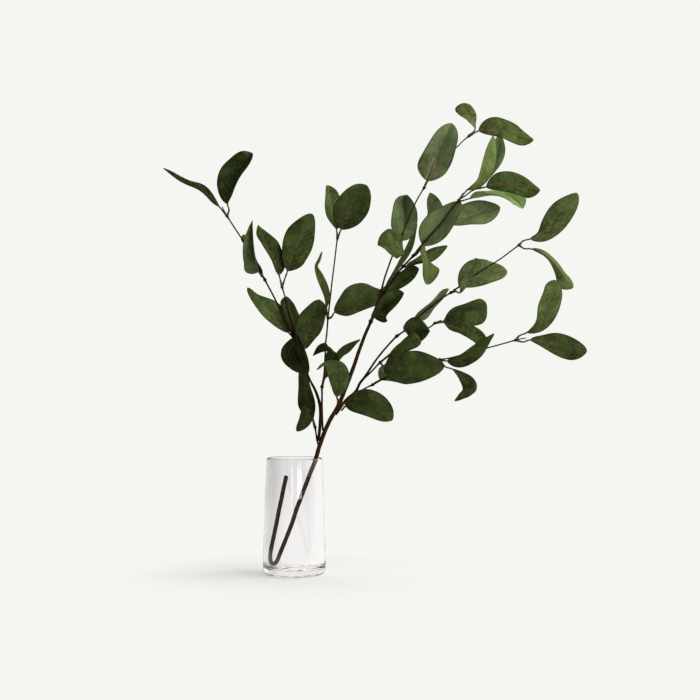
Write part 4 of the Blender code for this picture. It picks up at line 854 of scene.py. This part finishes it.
def clear_glass(name):
    """Clear pressed glass that lets lamps through."""
    g = Graph(name)
    # painted shade and light: the glass's faint lilac tint is darker on the left and towards the top, lighter on the
    # right, and much darker and warmer about the left edge of the foot
    whereabouts = g.node("ShaderNodeSeparateXYZ")
    g.put(whereabouts.inputs[0], g.node("ShaderNodeTexCoord").outputs["Object"])
    x, z = whereabouts.outputs["X"], whereabouts.outputs["Z"]
    left = g.mix(g.span(z, 0.03, 0.13), (0.870, 0.862, 0.880), (0.720, 0.715, 0.732))
    middle = g.mix(g.span(z, 0.05, 0.14), (0.990, 0.976, 1.0), (0.915, 0.898, 0.925))
    tint_and_painted_shade = g.mix(g.span(x, -0.038, -0.008), left, middle)
    tint_and_painted_shade = g.mix(g.span(x, 0.010, 0.034), tint_and_painted_shade, (1.0, 0.985, 1.0))
    foot_painted_shade = g.math("MULTIPLY", g.span(x, -0.036, -0.016, 1.0, 0.0), g.span(z, 0.005, 0.016, 1.0, 0.0))
    g.put(g.shader.inputs["Base Color"], g.mix(foot_painted_shade, tint_and_painted_shade, (0.360, 0.335, 0.300)))
    g.shader.inputs["Specular Tint"].default_value = (0.95, 0.93, 1.0, 1.0)
    g.shader.inputs["Transmission Weight"].default_value = 1.0
    g.shader.inputs["IOR"].default_value = 1.47
    g.shader.inputs["Roughness"].default_value = 0.0
    # slow ripples left by the mould
    spot = g.node("ShaderNodeTexCoord").outputs["Object"]
    ripple = g.noise(spot, 26.0, 2.0, 0.5)
    g.put(g.shader.inputs["Normal"], g.bump(ripple, MM, 0.22))
    through = g.node("ShaderNodeBsdfTransparent")
    through.inputs["Color"].default_value = (0.78, 0.775, 0.79, 1.0)
    pick = g.node("ShaderNodeMixShader")
    path = g.node("ShaderNodeLightPath")
    g.put(pick.inputs[0], path.outputs["Is Shadow Ray"])
    g.put(pick.inputs[1], g.shader.outputs[0])
    g.put(pick.inputs[2], through.outputs[0])
    g.put(g.tree.nodes["Material Output"].inputs["Surface"], pick.outputs[0])
    # thick glass, as in the foot, looks faintly warm and smoky
    depth = g.node("ShaderNodeVolumeAbsorption")
    depth.inputs["Color"].default_value = (0.80, 0.76, 0.66, 1.0)
    depth.inputs["Density"].default_value = 6.0
    g.put(g.tree.nodes["Material Output"].inputs["Volume"], depth.outputs[0])
    return g.made


TOP = leaf_cloth("leaf_cloth_top", False)
UNDER = leaf_cloth("leaf_cloth_under", True)
STALK = stem_cover("leaf_stalk", (0.030, 0.018, 0.007), (0.120, 0.076, 0.034), 0.52, 1.6)
COVER = stem_cover("wire_cover", (0.009, 0.005, 0.002), (0.030, 0.016, 0.006), 0.50)
TRUNK = stem_cover("main_stem_cover", (0.010, 0.005, 0.0015), (0.062, 0.028, 0.008), 0.48)
GLASS = clear_glass("vase_glass")


# --------------------------------------------------------------------- meshes
def new_piece(name, verts, faces, materials, slots, values, node):
    mesh = bpy.data.meshes.new(name)
    mesh.from_pydata([tuple(float(c) * MM for c in v) for v in verts], [], faces)
    for m in materials:
        mesh.materials.append(m)
    mesh.polygons.foreach_set("material_index", slots)
    mesh.polygons.foreach_set("use_smooth", [True] * len(faces))
    for key, numbers in values.items():
        mesh.attributes.new(key, "FLOAT", "POINT").data.foreach_set("value", np.asarray(numbers, np.float32))
    mesh.update()
    thing = bpy.data.objects.new(name, mesh)
    bpy.context.scene.collection.objects.link(thing)
    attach(thing, "root")
    if node:
        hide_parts(node)
    return thing


class Body:
    """Collects the parts of one mesh with their values."""

    def __init__(self):
        self.verts, self.faces, self.slots = [], [], []
        self.values = {k: [] for k in ("run", "along", "across", "around", "edge", "tone", "seed")}

    def add(self, verts, faces, slot, **values):
        first = len(self.verts)
        self.verts += list(verts)
        self.faces += [tuple(first + i for i in f) for f in faces]
        self.slots += [slot] * len(faces) if isinstance(slot, int) else list(slot)
        for k, store in self.values.items():
            v = values.get(k, 0.0)
            store += list(v) if np.ndim(v) else [float(v)] * len(verts)

    def make(self, name, materials, node):
        return new_piece(name, self.verts, self.faces, materials, self.slots, self.values, node)


def rod(body, c, sides, slot, tone=1.0, seed=0.0, dome=(0.5, 0.5), swell=0.0, first=None):
    """Round rod along rows of x, y, z, radius, with domed ends and faint lumps."""
    tg, sd, up = carried(c, first)
    run = lengths(c)
    rows, radii, where = [], [], []
    for k in (0.20, 0.55, 0.82, 0.96):
        a = math.acos(k)
        rows.append((c[0, :3] - tg[0] * c[0, 3] * math.sin(a) * dome[0], sd[0], up[0]))
        radii.append(c[0, 3] * k)
        where.append(-c[0, 3] * math.sin(a) * dome[0])
    for i in range(len(c)):
        rows.append((c[i, :3], sd[i], up[i]))
        radii.append(c[i, 3])
        where.append(run[i])
    for k in (0.96, 0.82, 0.55, 0.20):
        a = math.acos(k)
        rows.append((c[-1, :3] + tg[-1] * c[-1, 3] * math.sin(a) * dome[1], sd[-1], up[-1]))
        radii.append(c[-1, 3] * k)
        where.append(run[-1] + c[-1, 3] * math.sin(a) * dome[1])
    verts, along, around = [], [], []
    for (p, s, u), r, w0 in zip(rows, radii, where):
        for k in range(sides):
            w = 2 * math.pi * k / sides
            lump = 1.0 + swell * (math.sin(0.55 * w0 + 2.0 * w + seed) * 0.5 + math.sin(0.23 * w0 - w + 2 * seed) * 0.5
                                  + 0.35 * math.sin(1.7 * w0 + 3 * w))
            verts.append(p + r * lump * (math.cos(w) * s + math.sin(w) * u))
            along.append(w0)
            around.append(r * math.sin(w) + 0.5 * r * math.cos(w))
    faces = []
    n = len(rows)
    for i in range(n - 1):
        for k in range(sides):
            a, b = i * sides + k, i * sides + (k + 1) % sides
            faces.append((a, b, b + sides, a + sides))
    faces.append(tuple(range(sides))[::-1])
    faces.append(tuple((n - 1) * sides + k for k in range(sides)))
    body.add(verts, faces, slot, along=along, around=around, tone=tone, seed=seed)


def even_rows(c, step):
    run = lengths(c)
    n = max(3, int(round(run[-1] / step)))
    return sample(c, np.linspace(0.0, run[-1], n + 1))


def knots_on(c, marks, rise, half):
    """Swells a rod's radius into a rounded collar at each mark."""
    run = lengths(c)
    out = c.copy()
    for m in marks:
        out[:, 3] += rise * np.exp(-((run - m) / half) ** 4)
    return out


# ----------------------------------------------------------------- leaf blade
ROWS = 52
HALF_COLUMNS = 11
CLOTH = 0.19                     # half the cloth's thickness

# a few steps of brightness for the leaves, as the cloth and its facing vary: partly the cloth's own tone, mostly
# painted light and shade, brighter for leaves that face the light and darker for those in shade
LEAF_TONE_AND_PAINTED_LIGHT = {}
for step, names in (
        (0.44, "left_leaf_10 upright_leaf_05"),
        (0.65, "centre_leaf_04 upright_leaf_01 left_leaf_01 twig_leaf_02"),
        (0.73, "left_leaf_05 left_leaf_08 twig_leaf_01 main_leaf_04 right_leaf_08"),
        (0.84, "left_leaf_02 left_leaf_06 left_leaf_09 lower_leaf_05 main_leaf_02 "
               "lower_leaf_02 main_leaf_03"),
        (1.25, "main_leaf_07 main_leaf_09 upright_leaf_03"),
        (1.43, "main_leaf_08 right_leaf_05 lower_leaf_03"),
        (1.7, "centre_leaf_05 upright_leaf_06 left_leaf_07 upright_leaf_04 lower_leaf_04 right_leaf_09"),
        (1.9, "right_leaf_01 right_leaf_02 right_leaf_10 main_leaf_01"),
        (2.6, "centre_leaf_02 main_leaf_10 lower_leaf_01 left_leaf_03 main_leaf_05"),
        (2.9, "main_leaf_06 right_leaf_03"),
        (3.5, "centre_leaf_03 centre_leaf_01"),
        (4.5, "centre_leaf_07"),
        (5.2, "centre_leaf_09")):
    for name in names.split():
        LEAF_TONE_AND_PAINTED_LIGHT[name] = step
# how brown each leaf is printed about its midrib; 0.35 where nothing is said
BROWN = {"main_leaf_10": 1.0, "main_leaf_09": 1.0, "main_leaf_08": 0.7, "centre_leaf_03": 1.0,
         "centre_leaf_08": 0.9, "right_leaf_09": 0.9, "lower_leaf_05": 0.7, "right_leaf_07": 0.6,
         "right_leaf_01": 0.7, "main_leaf_06": 0.15, "upright_leaf_02": 0.8, "main_leaf_01": 0.1, "left_leaf_06": 0.15, "left_leaf_02": 0.1,
         "main_leaf_02": 0.1, "upright_leaf_04": 0.1, "right_leaf_06": 0.2, "centre_leaf_02": 0.2}


def blade_grid(L):
    """Middle surface of the blade, row by row, and its normals."""
    # rows crowd towards both ends, where the outline turns fastest
    ts = [0.5 - 0.5 * math.cos(math.pi * (0.04 + 0.96 * k / ROWS)) if k < ROWS else 1.0 for k in range(ROWS + 1)]
    ts = [(t - ts[0]) / (1 - ts[0]) * 0.999 + 0.001 * (k / ROWS) for k, t in enumerate(ts)]
    ss = [math.sin(0.5 * math.pi * k / HALF_COLUMNS) * 0.55 + 0.45 * k / HALF_COLUMNS for k in range(HALF_COLUMNS + 1)]
    cols = [-s for s in ss[::-1]] + ss[1:]
    grid = np.zeros((len(ts), len(cols), 3))
    for i, t in enumerate(ts):
        row = row_at(L, t)
        for j, s in enumerate(cols):
            grid[i, j] = blade_point(L, max(t, 0.004), s, row)
    # its normals, turned to the side that the blade's upward direction points to
    mid = len(cols) // 2
    du = np.gradient(grid, axis=0)
    dv = np.gradient(grid, axis=1)
    normal = unit(np.cross(dv, du))
    sight = np.array(EYE) - grid[len(ts) // 2, mid]
    up = L["up"]
    facing = np.array([up[int(min(max(t, 0), 1) * 120)] for t in ts])
    if np.sum(normal[:, mid] * facing) < 0:
        normal = -normal
    return np.array(ts), np.array(cols), grid, normal, du, dv


def leaf_piece(L, start):
    name = L["name"]
    ts, cols, grid, normal, du, dv = blade_grid(L)
    total = lengths(L["blade"])[-1]
    seed = (L["phase"] * 7.3) % 50.0
    # brightness step of this leaf, mostly painted light and shade
    tone = LEAF_TONE_AND_PAINTED_LIGHT.get(name, 1.0)
    mid = len(cols) // 2
    along = ts * total
    across = np.zeros(grid.shape[:2])
    step = np.linalg.norm(np.diff(grid, axis=1), axis=2)
    across[:, mid + 1:] = np.cumsum(step[:, mid:], axis=1)
    across[:, :mid] = -np.cumsum(step[:, :mid][:, ::-1], axis=1)[:, ::-1]
    ripple = 0.16 * np.sin(2 * math.pi * (along[:, None] - 0.7 * np.abs(across)) / 7.4 + 1.1)
    ripple *= np.sin(math.pi * np.abs(cols))[None, :] * np.clip(ts / 0.1, 0, 1)[:, None] * np.clip((1 - ts) / 0.15, 0, 1)[:, None]
    groove = -0.42 * np.exp(-(across / 0.85) ** 2) * np.clip((1 - ts) / 0.5, 0, 1)[:, None]
    side = 1.0 if L["face"] == "top" else -1.0
    middle = grid + normal * (side * (ripple + groove))[:, :, None]
    thick = CLOTH * np.ones(grid.shape[:2])
    front = middle + normal * thick[:, :, None]
    back = middle - normal * thick[:, :, None]
    nr, nc = grid.shape[:2]
    body = Body()
    front_slot, back_slot = (0, 1) if L["face"] == "top" else (1, 0)
    verts = list(front.reshape(-1, 3)) + list(back.reshape(-1, 3))
    faces, slots = [], []
    n = nr * nc
    # which way round the front faces wind
    a, b, c = front[nr // 2, mid], front[nr // 2, mid + 1], front[nr // 2 + 1, mid]
    flip = np.dot(np.cross(b - a, c - a), normal[nr // 2, mid]) < 0
    for i in range(nr - 1):
        for j in range(nc - 1):
            p, q = i * nc + j, (i + 1) * nc + j
            f = (p, p + 1, q + 1, q)
            over = ts[i] > L["more"].get("turn", 2.0)
            faces.append(f[::-1] if flip else f)
            slots.append(back_slot if over else front_slot)
            g = (n + p, n + q, n + q + 1, n + p + 1)
            faces.append(g[::-1] if flip else g)
            slots.append(front_slot if over else back_slot)
    rim = [(i * nc, (i + 1) * nc) for i in range(nr - 1)]
    rim += [((i + 1) * nc + nc - 1, i * nc + nc - 1) for i in range(nr - 1)]
    rim += [(j + 1, j) for j in range(nc - 1)]
    rim += [((nr - 1) * nc + j, (nr - 1) * nc + j + 1) for j in range(nc - 1)]
    for p, q in rim:
        f = (p, q, n + q, n + p)
        faces.append(f[::-1] if flip else f)
        slots.append(front_slot)
    edge = np.abs(cols)[None, :] * np.ones((nr, 1))
    tip = np.clip((ts - 0.90) / 0.10, 0, 1)[:, None]
    edge = np.maximum(edge, tip * (0.55 + 0.45 * tip))
    run = ts[:, None] * np.ones((1, nc))
    al = along[:, None] * np.ones((1, nc))
    twice = lambda a: np.concatenate([a.reshape(-1), a.reshape(-1)])
    body.add(verts, faces, slots, run=twice(run), along=twice(al), across=twice(across),
             edge=twice(edge), around=BROWN.get(name, 0.35), tone=tone, seed=seed)

    # stalk: a sleeve at the stem, narrowing into the blade and on under it as a rib
    stalk = L["stalk"]
    srun = lengths(stalk)
    s0 = max(start - 1.2, 0.0)
    reach = 0.34 * total
    rib_t = np.linspace(0.0, 0.34, 12)[1:]
    back_sign = -1.0 if L["face"] == "top" else 1.0
    rib = []
    for t in rib_t:
        row = row_at(L, t)
        i = int(round(t * (nr - 1)))
        p = blade_point(L, t, 0.0, row)
        k = int(np.argmin(np.abs(ts - t)))
        rib.append(p + normal[k, mid] * back_sign * (CLOTH + 0.05))
    where = np.linspace(s0, srun[-1], max(4, int((srun[-1] - s0) / 1.2)))
    base = sample(stalk, where)
    path = np.vstack([base, np.array(rib)])
    plen = lengths(path)
    blen = plen[len(base) - 1]
    total_len = plen[-1]
    radius = np.where(plen <= blen,
                      1.00 + 0.74 * np.exp(-(plen / 4.0) ** 2) + 0.09 * np.cos(plen * 0.9),
                      0.78 * (1 - (plen - blen) / (total_len - blen + 1e-6)) ** 0.8 + 0.10)
    radius = np.minimum(radius, 1.70)
    rows = np.hstack([path, radius[:, None]])
    rows = even_rows(rows, 0.9)
    rod(body, rows, 12, 2, tone=1.0 + 0.35 * (((L["phase"] * 5) % 11) / 11.0 - 0.4), seed=seed,
        dome=(0.6, 0.6), swell=0.07, first=np.array([0.0, -1.0, 0.0]))
    return body.make(name + "_fine", [TOP, UNDER, STALK], name)


# ------------------------------------------------------------------ the stems
NODES = [leaf[1] for leaf in LEAVES]


def stem_piece(name, runs, sides, step, material, extra=()):
    body = Body()
    seed = sum(ord(ch) for ch in name) % 37
    nodes = [at(*n) for n in NODES]
    for k, rows in enumerate(runs):
        c = dense_path([list(at(u, v, d)) + [r] for u, v, d, r in rows])
        c = even_rows(c, step)
        if name != "main_stem":
            c[:, 3] *= 1.15
        run = lengths(c)
        marks = []
        for p in nodes:
            far = np.linalg.norm(c[:, :3] - p, axis=1)
            i = int(np.argmin(far))
            if far[i] < 2.5 and all(abs(run[i] - m) > 3.0 for m in marks):
                marks.append(run[i])
        c = knots_on(c, marks, 1.15, 1.85)
        # short moulding joints between the collars
        for m in marks:
            c = knots_on(c, [m - 3.4], 0.20, 1.4)
        rod(body, c, sides, 0, seed=seed + 3 * k, swell=0.045 if name == "main_stem" else 0.05,
            dome=(0.75, 0.75))
    for rows in extra:
        c = dense_path([list(at(u, v, d)) + [r] for u, v, d, r in rows])
        rod(body, even_rows(c, step), 10, 0, seed=seed + 11, swell=0.06, dome=(0.8, 0.8))
    return body.make(name + "_fine", [material], name)


STUBS = {
    "left_spray_stem": [
        [(227, 216, 62, 0.80), (224.3, 211.0, 62.5, 0.72), (222.2, 207, 63, 0.62)],
        [(282, 287, 34, 0.80), (280.8, 282, 34.5, 0.72), (280, 278, 35, 0.62)]],
    "right_spray_stem": [
        [(435, 323, 4, 0.85), (438.5, 321.4, 4, 0.80), (441.2, 320.4, 4, 0.70)]],
    "lower_right_spray_stem": [
        [(516, 340, 30, 0.80), (521, 338.8, 30.5, 0.72), (526, 338, 31, 0.62)]],
    "centre_spray_stem": [
        [(459, 200, -44, 0.85), (461.3, 196, -43.5, 0.72), (463, 193, -43, 0.62)]],
}

stems = all_stem_rows()
for name, runs in STEMS.items():
    thick = name == "main_stem"
    stem_piece(name, runs, 28 if thick else 16, 1.0 if thick else 0.9, TRUNK if thick else COVER,
               STUBS.get(name, ()))
for L, start in all_leaves(stems):
    leaf_piece(L, start)


# ------------------------------------------------------------------- the vase
def smooth_profile(points, dense):
    out = []
    c = dense_path([(r, 0.0, z) for r, z in points], dense)
    for p in c:
        out.append((max(p[0], 0.0), p[2]))
    return out


def vase_piece(sides=144):
    profile = [(0.0, 0.55), (10.0, 0.5), (24.0, 0.45), (30.0, 0.3), (33.0, 0.0), (34.5, 0.05),
               (36.4, 0.45), (38.0, 1.5), (39.2, 3.1), (40.0, 5.4), (40.4, 8.2), (40.5, 11.0),
               (40.45, 16.0), (40.2, 24.0), (39.9, 36.0), (39.5, 50.0), (38.5, 83.0), (37.4, 114.0),
               (36.5, 140.0), (36.15, 146.0), (36.05, 147.4), (35.9, 148.4), (35.5, 149.1),
               (34.95, 149.35), (34.4, 149.15), (34.05, 148.5), (33.95, 147.4), (34.1, 144.0),
               (35.0, 114.0), (36.1, 83.0), (37.1, 50.0), (37.6, 36.0), (37.9, 24.0), (38.05, 17.0),
               (37.9, 14.0), (37.3, 11.6), (36.0, 9.9), (33.8, 8.9), (30.0, 8.4), (20.0, 8.1),
               (10.0, 8.0), (0.0, 8.0)]
    c = smooth_profile(profile, 3)
    verts, faces = [(0.0, 0.0, c[0][1])], []
    rings = c[1:-1]
    for r, z in rings:
        for k in range(sides):
            w = 2 * math.pi * k / sides
            x, y = r * math.cos(w), r * math.sin(w)
            # the mould leaves the inside of the foot uneven
            wavy = 0.0
            if 2.0 < z < 13.0 and r < 37.9:
                wavy = (0.55 * math.sin(0.21 * x + 0.6) * math.sin(0.17 * y + 1.1)
                        + 0.32 * math.sin(0.43 * x - 0.31 * y) + 0.22 * math.sin(0.9 * y + 0.5 * x + 2.0))
                wavy *= min(1.0, (13.0 - z) / 4.0)
            verts.append((x, y, z + wavy))
    verts.append((0.0, 0.0, c[-1][1]))
    last = len(verts) - 1
    for k in range(sides):
        j = (k + 1) % sides
        faces.append((0, 1 + j, 1 + k))
        for i in range(len(rings) - 1):
            a, b = 1 + i * sides + k, 1 + i * sides + j
            faces.append((a, b, b + sides, a + sides))
        faces.append((1 + (len(rings) - 1) * sides + k, 1 + (len(rings) - 1) * sides + j, last))
    return new_piece("vase_fine", verts, faces, [GLASS], [0] * len(faces), {}, "vase")


vase_piece()

# ------------------------------------------------------- floor, light, camera
BACKDROP = (0.9131, 0.9216, 0.8796)


KEY = {"place": (0.66, -0.52, 0.98), "aim": (0.12, 0.0, 0.36), "size": 0.55, "power": 7.0}
FILL = {"place": (-1.3, -1.6, 0.9), "aim": (0.06, 0.0, 0.33), "size": 1.2, "power": 3.0}
FLOOR_WHITE = 0.5
SUN = 1.45                        # W/m2
SUN_FROM = (0.80, 0.03, 0.60)
SKY_ON_FLOOR = (0.49, 0.49, 0.475)


def floor_material():
    g = Graph("studio_floor")
    spot = g.node("ShaderNodeNewGeometry").outputs["Position"]

    def dot(a, b):
        n = g.node("ShaderNodeVectorMath", operation="DOT_PRODUCT")
        g.put(n.inputs[0], a)
        g.put(n.inputs[1], b)
        return n.outputs["Value"]

    # what each area lamp lays on the open floor, as a share of full white
    lit = None
    for lamp_at in (KEY, FILL):
        place, aim = np.array(lamp_at["place"]), np.array(lamp_at["aim"])
        way = (aim - place) / np.linalg.norm(aim - place)
        gap = g.node("ShaderNodeVectorMath", operation="SUBTRACT")
        g.put(gap.inputs[0], spot)
        g.put(gap.inputs[1], tuple(place))
        gap = gap.outputs[0]
        square = dot(gap, gap)
        share = g.math("MAXIMUM", dot(gap, tuple(way)), 0.0)
        share = g.math("DIVIDE", g.math("MULTIPLY", share, lamp_at["power"] * place[2] / math.pi ** 2),
                       g.math("MULTIPLY", square, square))
        lit = share if lit is None else g.math("ADD", lit, share)
    sun = np.array(SUN_FROM) / np.linalg.norm(SUN_FROM)
    lit = g.math("MULTIPLY", g.math("ADD", lit, SUN * sun[2] / math.pi), FLOOR_WHITE)
    glow = g.node("ShaderNodeVectorMath", operation="SUBTRACT")
    g.put(glow.inputs[0], tuple(b - FLOOR_WHITE * s for b, s in zip(BACKDROP, SKY_ON_FLOOR)))
    g.put(glow.inputs[1], g.join(lit, lit, lit))
    over = g.node("ShaderNodeVectorMath", operation="MAXIMUM")
    g.put(over.inputs[0], glow.outputs[0])
    g.put(over.inputs[1], (0.0, 0.0, 0.0))

    apart = g.node("ShaderNodeVectorMath", operation="LENGTH")
    g.put(apart.inputs[0], spot)
    near = g.span(apart.outputs["Value"], 0.070, 0.250, 1.0, 0.0)
    g.shader.inputs["Base Color"].default_value = (FLOOR_WHITE, FLOOR_WHITE, FLOOR_WHITE, 1.0)
    g.shader.inputs["Roughness"].default_value = 1.0
    g.shader.inputs["Specular IOR Level"].default_value = 0.0
    lift = g.node("ShaderNodeEmission")
    g.put(lift.inputs["Color"], over.outputs[0])
    both = g.node("ShaderNodeAddShader")
    g.put(both.inputs[0], g.shader.outputs[0])
    g.put(both.inputs[1], lift.outputs[0])
    far = g.node("ShaderNodeEmission")
    far.inputs["Color"].default_value = (*BACKDROP, 1.0)
    # the open floor mirrors only dimly in the glass, as a table in a dark room does
    path = g.node("ShaderNodeLightPath")
    ahead = g.node("ShaderNodeSeparateXYZ")
    g.put(ahead.inputs[0], spot)
    front = g.span(ahead.outputs["Y"], -0.34, -0.12, 1.0, 0.0)
    left = g.math("MULTIPLY", g.span(ahead.outputs["X"], -0.55, -0.22, 1.0, 0.0),
                  g.span(ahead.outputs["Y"], 0.10, 0.50, 1.0, 0.0))
    deep = path.outputs["Transmission Depth"]
    kept = g.math("MAXIMUM", g.math("MULTIPLY_ADD", deep, 0.11, 0.10), g.math("GREATER_THAN", deep, 3.5))
    lost = g.math("MULTIPLY", g.math("GREATER_THAN", path.outputs["Glossy Depth"], 0.5),
                  g.math("SUBTRACT", 1.0, kept))
    mirrored = g.math("MULTIPLY", lost, g.math("MAXIMUM", front, left))
    glint = g.math("MULTIPLY", path.outputs["Is Transmission Ray"], 0.05)
    g.put(far.inputs["Strength"], g.math("ADD", g.math("SUBTRACT", 1.0, mirrored), glint))
    # light that the glass gathers on the floor about its foot
    gathered = g.math("MULTIPLY", path.outputs["Is Transmission Ray"],
                      g.span(apart.outputs["Value"], 0.035, 0.046, 0.80, 0.30))
    g.put(lift.inputs["Strength"], g.math("ADD", gathered, 1.0))
    pick = g.node("ShaderNodeMixShader")
    g.put(pick.inputs[0], near)
    g.put(pick.inputs[1], far.outputs[0])
    g.put(pick.inputs[2], both.outputs[0])
    g.put(g.tree.nodes["Material Output"].inputs["Surface"], pick.outputs[0])
    return g.made


def floor():
    mesh = bpy.data.meshes.new("floor")
    rings, sides, reach = 24, 96, 9.0
    verts, faces = [(0.0, 0.0, 0.0)], []
    for i in range(rings):
        r = reach * ((i + 1) / rings) ** 2
        verts += [(r * math.cos(2 * math.pi * k / sides), r * math.sin(2 * math.pi * k / sides), 0.0) for k in range(sides)]
    for k in range(sides):
        faces.append((0, 1 + k, 1 + (k + 1) % sides))
        for i in range(rings - 1):
            a, b = 1 + i * sides + k, 1 + i * sides + (k + 1) % sides
            faces.append((a, a + sides, b + sides, b))
    mesh.from_pydata(verts, [], faces)
    mesh.materials.append(floor_material())
    thing = bpy.data.objects.new("floor", mesh)
    bpy.context.scene.collection.objects.link(thing)
    thing.location.z = -0.0001


floor()


def lamp(name, place, aim, size, power, colour=(1.0, 1.0, 1.0), tall=None):
    light = bpy.data.lights.new(name, "AREA")
    light.shape = "RECTANGLE" if tall else "SQUARE"
    light.size = size
    if tall:
        light.size_y = tall
    light.energy = power
    light.color = colour
    thing = bpy.data.objects.new(name, light)
    bpy.context.scene.collection.objects.link(thing)
    thing.location = place
    way = np.array(aim) - np.array(place)
    thing.rotation_euler = Vector(way).to_track_quat("-Z", "Y").to_euler()
    return thing


for big in (lamp("key", KEY["place"], KEY["aim"], KEY["size"], KEY["power"], (1.0, 0.99, 0.96)),
            lamp("fill", FILL["place"], FILL["aim"], FILL["size"], FILL["power"], (0.98, 0.98, 1.0))):
    big.visible_glossy = False
    big.visible_transmission = False
lamp("window", (0.56, -1.38, 0.118), (0.0, 0.0, 0.118), 0.50, 0.6, (1.0, 0.99, 1.0), tall=0.10)
lamp("window_left", (-0.19, -1.48, 0.118), (0.0, 0.0, 0.118), 0.12, 0.13, (1.0, 0.99, 1.0), tall=0.10)
low_sun = bpy.data.lights.new("side", "SUN")
low_sun.energy = SUN
low_sun.angle = 0.42
side = bpy.data.objects.new("side", low_sun)
bpy.context.scene.collection.objects.link(side)
side.visible_glossy = False
side.visible_transmission = False
side.location = SUN_FROM
side.rotation_euler = Vector(SUN_FROM).to_track_quat("Z", "Y").to_euler()

world = bpy.data.worlds.new("studio")
world.use_nodes = True
bpy.context.scene.world = world
wt = world.node_tree
wt.nodes.clear()
out = wt.nodes.new("ShaderNodeOutputWorld")
glow = wt.nodes.new("ShaderNodeBackground")
coords = wt.nodes.new("ShaderNodeTexCoord")
parts = wt.nodes.new("ShaderNodeSeparateXYZ")
wt.links.new(coords.outputs["Generated"], parts.inputs[0])


def sky_ramp(socket, low, high, to_low, to_high):
    n = wt.nodes.new("ShaderNodeMapRange")
    n.interpolation_type = "SMOOTHSTEP"
    wt.links.new(socket, n.inputs[0])
    for k, v in enumerate((low, high, to_low, to_high)):
        n.inputs[k + 1].default_value = v
    return n.outputs[0]


def sky_math(op, a, b):
    n = wt.nodes.new("ShaderNodeMath")
    n.operation = op
    wt.links.new(a, n.inputs[0])
    wt.links.new(b, n.inputs[1])
    return n.outputs[0]


behind = sky_ramp(parts.outputs["Y"], 0.02, 0.58, 0.05, 1.0)
right = sky_ramp(parts.outputs["X"], 0.45, 0.90, 0.0, 1.5)
# towards the room it is dark in the glass's reflections, pale when looked at or through the glass
light_path = wt.nodes.new("ShaderNodeLightPath")


def sky_number(op, a, b):
    n = wt.nodes.new("ShaderNodeMath")
    n.operation = op
    for k, v in enumerate((a, b)):
        if isinstance(v, bpy.types.NodeSocket):
            wt.links.new(v, n.inputs[k])
        else:
            n.inputs[k].default_value = v
    return n.outputs[0]


bounced = sky_number("GREATER_THAN", light_path.outputs["Glossy Depth"], 0.5)
clear = sky_number("MULTIPLY", light_path.outputs["Is Transmission Ray"], sky_number("SUBTRACT", 1.0, bounced))
right = sky_number("MULTIPLY", right, sky_number("SUBTRACT", 1.0, sky_number("MULTIPLY", bounced, 0.4)))
level = sky_number("MAXIMUM", sky_math("ADD", behind, right), sky_number("MAXIMUM", light_path.outputs["Is Camera Ray"], clear))
kept = sky_number("MAXIMUM", sky_number("MULTIPLY", light_path.outputs["Transmission Depth"], 0.13),
                  sky_number("GREATER_THAN", light_path.outputs["Transmission Depth"], 3.5))
level = sky_number("MAXIMUM", level, sky_number("MULTIPLY", bounced, sky_number("MINIMUM", kept, 1.0)))
wt.links.new(level, glow.inputs["Strength"])
glow.inputs["Color"].default_value = (*BACKDROP, 1.0)
wt.links.new(glow.outputs[0], out.inputs["Surface"])

scene = bpy.context.scene
scene.view_settings.view_transform = "Standard"
scene.view_settings.look = "None"
camera = bpy.data.cameras.new("camera")
camera.lens = 36.0 * CHART_FOCUS / 700.0
camera.sensor_width = 36.0
camera.sensor_fit = "HORIZONTAL"
camera.clip_end = 50.0
view = bpy.data.objects.new("camera", camera)
scene.collection.objects.link(view)
view.location = [c * MM for c in EYE]
view.rotation_euler = (math.pi / 2 + TILT, 0.0, 0.0)
scene.camera = view
